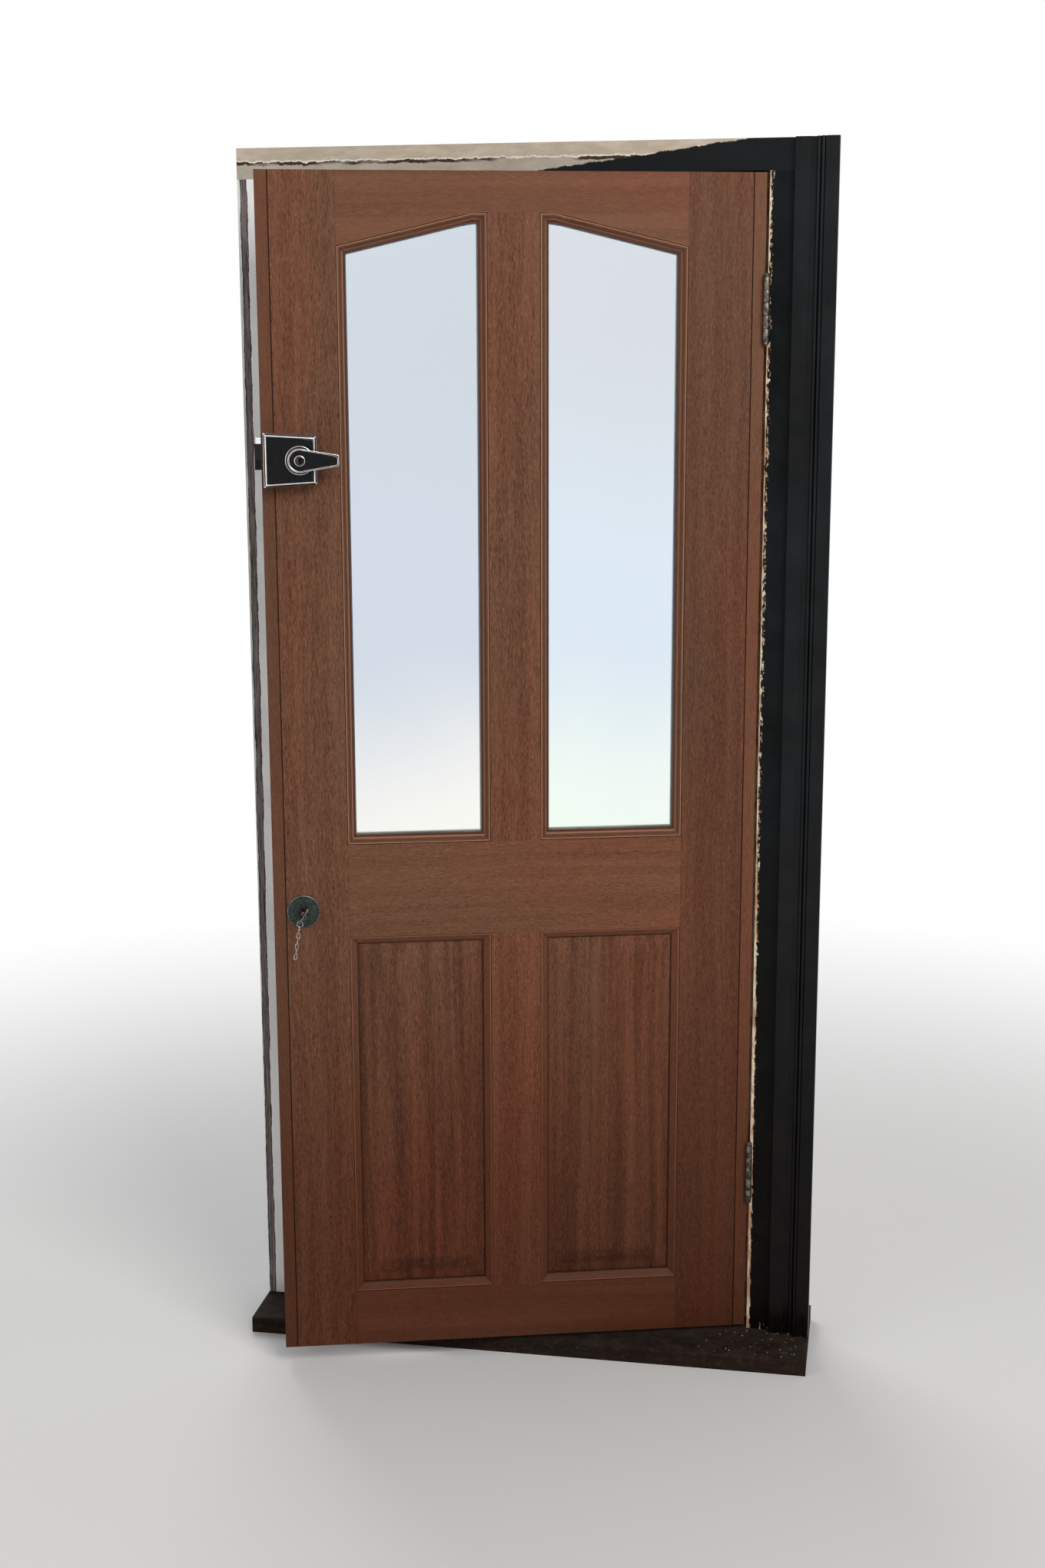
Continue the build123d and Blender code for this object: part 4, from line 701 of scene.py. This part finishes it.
# Ironmongery with rounded arrises, which have a finish of their own
softNodes = {
    # node: (piece, width, segments, slot, arris finish)
    "night_latch_case": ("latchCase", 0.0008, 3, "chrome", chromeEdge),
    "night_latch_face": ("latchFace", 0.0004, 2, "black_enamel", blackGloss),
    "turn_lever": ("turnLever", 0.0010, 3, "chrome", chromeEdge),
    "lever_inlay": ("leverInlay", 0.0003, 2, "black_enamel", blackGloss),
    "inside_cylinder": ("latchCylinder", 0.0008, 3, "chrome", chromeEdge),
    "latch_keep": ("latchKeep", 0.0007, 2, "chrome", chromeEdge),
    "latch_keep_cover": ("keepCover", 0.0005, 2, "black_enamel", blackGloss),
    "inside_escutcheon": ("insideDisc", 0.0010, 3, "escutcheon_metal", discEdge),
    "outside_escutcheon": ("outsideDisc", 0.0009, 3, "escutcheon_metal", dullBrass),
    "upper_hinge_frame_plate": ("upperFrameHinge", 0.0004, 2, "hinge_steel", hingeEdge),
    "upper_hinge_leaf_plate": ("upperLeafHinge", 0.0004, 2, "hinge_steel", hingeEdge),
    "lower_hinge_frame_plate": ("lowerFrameHinge", 0.0004, 2, "hinge_steel", hingeEdge),
    "lower_hinge_leaf_plate": ("lowerLeafHinge", 0.0004, 2, "hinge_steel", hingeEdge),
    "key": ("keyInLock", 0.0005, 2, "key_steel", keyEdge),
    "deadlock_strike_plate": ("strikePlate", 0.0003, 2, "lock_steel", lockSteel),
    "deadlock_forend": ("lockForend", 0.0003, 2, "brass", dullBrass),
}
for node, (name, width, segments, slotName, arris) in softNodes.items():
    piece = softened(node, name, width, segments, arris)
    hand(piece, frame["nodes"][node]["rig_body"], slotName, node)
print("arrises rounded:", len(softNodes))

# Slotted wood screws
screwShape = {
    "headRadius": 0.0037,
    "shankRadius": 0.0019,
    "landDepth": 0.0003,
    "coneDepth": 0.0018,
    "length": 0.030,
    "tipLength": 0.004,
    "tipShare": 0.15,
    "slotWidth": 0.0010,
    "slotDepth": 0.0010,
    "sides": 24,
    "firstTurn": 0.4,
    "turnStep": 0.9,
}
hingeOffsets = ((0.012, 0.040), (0.024, 0.014), (0.024, -0.014), (0.012, -0.040))
hingeHeights = (1.803, 0.325)
roomFace = -0.0475
screwSets = {
    # node: (piece, body, swung with the leaf, way the heads turn, places)
    "frame_hinge_screws": (
        "frameHingeScrews", "frame", False, ("Y", -90),
        [(0.4095, roomFace + a, up + b) for up in hingeHeights for a, b in hingeOffsets],
    ),
    "leaf_hinge_screws": (
        "leafHingeScrews", "leaf", True, ("Y", 90),
        [(0.4065, roomFace + a, up + b) for up in hingeHeights for a, b in hingeOffsets],
    ),
    "deadlock_screws": (
        "deadlockScrews", "leaf", True, ("Y", -90),
        [(-0.4065, -0.0255, 0.846 + b) for b in (-0.057, 0.057)],
    ),
}


def slottedScrew():
    # head in the plane z = 0, shank along -z
    s = screwShape
    cleared()
    bpy.ops.mesh.primitive_cylinder_add(
        vertices=s["sides"], radius=s["headRadius"], depth=s["landDepth"],
        location=(0, 0, -s["landDepth"] / 2),
    )
    screw = opened(bpy.context.object)
    choose(screw, "FACE", lambda f: f.normal.z < -0.9)
    down = {"value": (0, 0, -s["coneDepth"])}
    bpy.ops.mesh.extrude_region_move(TRANSFORM_OT_translate=down)
    share = s["shankRadius"] / s["headRadius"]
    bpy.ops.transform.resize(value=(share, share, 1), center_override=(0, 0, 0))
    rest = s["length"] - s["landDepth"] - s["coneDepth"] - s["tipLength"]
    bpy.ops.mesh.extrude_region_move(TRANSFORM_OT_translate={"value": (0, 0, -rest)})
    bpy.ops.mesh.extrude_region_move(TRANSFORM_OT_translate={"value": (0, 0, -s["tipLength"])})
    bpy.ops.transform.resize(value=(s["tipShare"], s["tipShare"], 1), center_override=(0, 0, 0))
    for side in (-1, 1):
        bpy.ops.mesh.select_all(action="SELECT")
        bpy.ops.mesh.bisect(plane_co=(0, side * s["slotWidth"] / 2, 0), plane_no=(0, 1, 0))
    choose(screw, "FACE", lambda f: f.normal.z > 0.9 and abs(f.calc_center_median().y) < s["slotWidth"] / 2)
    bpy.ops.mesh.extrude_region_move(TRANSFORM_OT_translate={"value": (0, 0, -s["slotDepth"])})
    return settled(closed(screw, 30))


def copied(model, place):
    twin = bpy.data.objects.new(model.name, model.data.copy())
    scene.collection.objects.link(twin)
    twin.matrix_world = place
    return settled(twin)


screwModel = slottedScrew()
for node, (name, body, swings, (axis, turn), places) in screwSets.items():
    twins = []
    for index, spot in enumerate(places):
        place = Matrix.Translation(spot) @ Matrix.Rotation(math.radians(turn), 4, axis)
        headTurn = screwShape["turnStep"] * index + screwShape["firstTurn"]
        place = place @ Matrix.Rotation(headTurn, 4, "Z")
        twins.append(copied(screwModel, leafSwing @ place if swings else place))
    piece = joined(twins, name)
    piece.data.materials.append(screwSteel)
    hand(piece, body, "screw_steel", node)
bpy.data.objects.remove(screwModel)
print("screws made")

# Chain on the key: a split ring and oval links
chain = {
    "hang": Vector((-0.3625, -0.0725, 0.81247)),
    "lean": 9.0,
    "ringRadius": 0.0050,
    "ringWire": 0.00065,
    "ringDrop": 0.0060,
    "linkWidth": 0.0052,
    "linkStretch": 0.00544,
    "bendFrom": 0.2,
    "bendShare": 0.25,
    "segments": (28, 10),
    "linkWire": 0.00075,
    "firstLink": 0.01735,
    "pitch": 0.00905,
    "links": 6,
}


def chainLink(radius, wire, stretch, place):
    cleared()
    bpy.ops.mesh.primitive_torus_add(
        major_radius=radius, minor_radius=wire, rotation=(math.pi / 2, 0, 0),
        major_segments=chain["segments"][0], minor_segments=chain["segments"][1],
    )
    link = settled(bpy.context.object)
    opened(link)
    for side in (-1, 1):
        choose(link, "VERT", lambda v: v.co.z * side > 1e-6)
        bpy.ops.transform.translate(value=(0, 0, side * stretch / 2))
    choose(link, "VERT", lambda v: v.co.x > radius * chain["bendFrom"])
    bpy.ops.transform.translate(value=(0, wire * chain["bendShare"], 0))
    return settled(closed(link, 40), place)


hang = leafSwing @ Matrix.Translation(chain["hang"]) @ Matrix.Rotation(math.radians(chain["lean"]), 4, "Y")
ringPlace = hang @ Matrix.Translation((0, 0, -chain["ringDrop"]))
links = [chainLink(chain["ringRadius"], chain["ringWire"], 0.0, ringPlace)]
for index in range(chain["links"]):
    drop = Matrix.Translation((0, 0, -chain["firstLink"] - index * chain["pitch"]))
    quarter = Matrix.Rotation(math.pi / 2 if index % 2 == 0 else 0.0, 4, "Z")
    radius = chain["linkWidth"] / 2 - chain["linkWire"] / 2
    links.append(chainLink(radius, chain["linkWire"], chain["linkStretch"], hang @ drop @ quarter))
keyChain = joined(links, "keyChain")
keyChain.data.materials.append(nickel)
hand(keyChain, "key", "key_steel", "key_chain")
print("chain made")

# Crumbs of plaster and paint on the threshold, by the foot of the hinge jamb
crumbs = {
    "seed": 7,
    "count": 46,
    "size": (0.0010, 0.0030),
    "along": (0.33, 0.500),
    "across": (-0.150, -0.055),
    "top": 0.028,
    "rise": 0.35,
    "crowding": 1.6,
    "stretch": (1.3, 0.8, 0.6),
}
crumbTone = newMaterial("crumbPlaster", Roughness=0.9, Specular_IOR_Level=0.1)
patch = crumbTone.noise(crumbTone.object, 300.0, 2.0)
crumbTone.put(crumbTone.shader["Base Color"], crumbTone.mix(patch, (0.10, 0.085, 0.07), (0.62, 0.56, 0.47)))
dice = random.Random(crumbs["seed"])
cleared()
bpy.ops.mesh.primitive_ico_sphere_add(subdivisions=1, radius=1.0)
crumbModel = opened(bpy.context.object)
choose(crumbModel, "VERT", lambda v: v.co.z < -0.3)
bpy.ops.transform.resize(value=(1.25, 0.8, 0.55))
choose(crumbModel, "VERT", lambda v: v.co.x > 0.6)
bpy.ops.transform.translate(value=(0.35, 0.1, -0.2))
settled(closed(crumbModel, 20))
twins = []
for index in range(crumbs["count"]):
    size = dice.uniform(*crumbs["size"]) / 2
    near = dice.random() ** crumbs["crowding"]
    x = crumbs["along"][1] - near * (crumbs["along"][1] - crumbs["along"][0])
    y = crumbs["across"][1] - dice.random() * (crumbs["across"][1] - crumbs["across"][0])
    spot = Matrix.Translation((x, y, crumbs["top"] + size * crumbs["rise"]))
    place = spot @ Matrix.Rotation(dice.uniform(0, 6.28), 4, "Z")
    scale = Matrix.Diagonal((*(size * share for share in crumbs["stretch"]), 1.0))
    twins.append(copied(crumbModel, place @ scale))
bpy.data.objects.remove(crumbModel)
plasterCrumbs = joined(twins, "plasterCrumbs")
plasterCrumbs.data.materials.append(crumbTone.material)
hand(plasterCrumbs, "frame", "frame_paint")
print("crumbs strewn:", crumbs["count"])

# Floor, light and camera
cleared()
bpy.ops.mesh.primitive_plane_add(size=80, location=(0, 20, 0))
floor = settled(bpy.context.object)
floor.name = "studioFloor"
ground = newMaterial("studioFloorPaint", Roughness=0.85, Specular_IOR_Level=0.1)
x, y, z = ground.split(ground.object)
away = ground.math("SQRT", ground.math("ADD", ground.math("MULTIPLY", x, x), ground.math("MULTIPLY", y, y)))
far = ground.ramp(away, 0.9, 3.2)
rays = ground.add("ShaderNodeLightPath").outputs
seen = ground.math("MAXIMUM", rays["Is Camera Ray"], rays["Is Transmission Ray"])
seen = ground.math("MAXIMUM", seen, rays["Is Glossy Ray"])
glow = ground.math("MULTIPLY", far, seen)
ground.put(ground.shader["Base Color"], ground.mix(glow, (0.80, 0.80, 0.80), (0.0, 0.0, 0.0)))
ground.put(ground.shader["Emission Color"], (1.0, 1.0, 1.0))
ground.put(ground.shader["Emission Strength"], glow)
floor.data.materials.append(ground.material)

world = bpy.data.worlds.new("studioWorld")
scene.world = world
world.use_nodes = True
sky = Tree(world.node_tree)
background = sky.nodes["Background"].inputs
background["Color"].default_value = (1.0, 1.0, 1.0, 1.0)
rays = sky.add("ShaderNodeLightPath").outputs
seen = sky.math("MAXIMUM", rays["Is Camera Ray"], rays["Is Transmission Ray"])
seen = sky.math("MAXIMUM", seen, rays["Is Glossy Ray"])
sky.put(background["Strength"], sky.blend(seen, 0.36, 1.0))

lampAim = Vector((0, -0.1, 1.2))
lamps = {
    "keyLamp": {"place": (2.0, -2.7, 3.3), "size": 1.8, "watts": 84, "colour": (1.0, 0.97, 0.93)},
    "fillLamp": {"place": (-2.6, -3.2, 2.2), "size": 2.4, "watts": 16, "colour": (0.94, 0.97, 1.0)},
    "backLamp": {"place": (-1.6, 2.8, 3.2), "size": 2.2, "watts": 60, "colour": (1.0, 1.0, 1.0)},
}
for name, lamp in lamps.items():
    light = bpy.data.lights.new(name, "AREA")
    light.size = lamp["size"]
    light.energy = lamp["watts"]
    light.color = lamp["colour"]
    holder = bpy.data.objects.new(name, light)
    scene.collection.objects.link(holder)
    holder.location = lamp["place"]
    holder.visible_transmission = False
    aim = lampAim - holder.location
    holder.rotation_euler = aim.to_track_quat("-Z", "Y").to_euler()

view = {
    "place": (0.61918523, -3.49769187, 1.73648647),
    "turn": (78.24486420, 0.15647324, 10.04802600),
    "lens": 47.64706,
}
cameraData = bpy.data.cameras.new("photoCamera")
cameraData.sensor_fit = "VERTICAL"
cameraData.sensor_height = 36.0
cameraData.lens = view["lens"]
camera = bpy.data.objects.new("photoCamera", cameraData)
scene.collection.objects.link(camera)
camera.location = view["place"]
camera.rotation_euler = [math.radians(v) for v in view["turn"]]
scene.camera = camera
print("stage done")
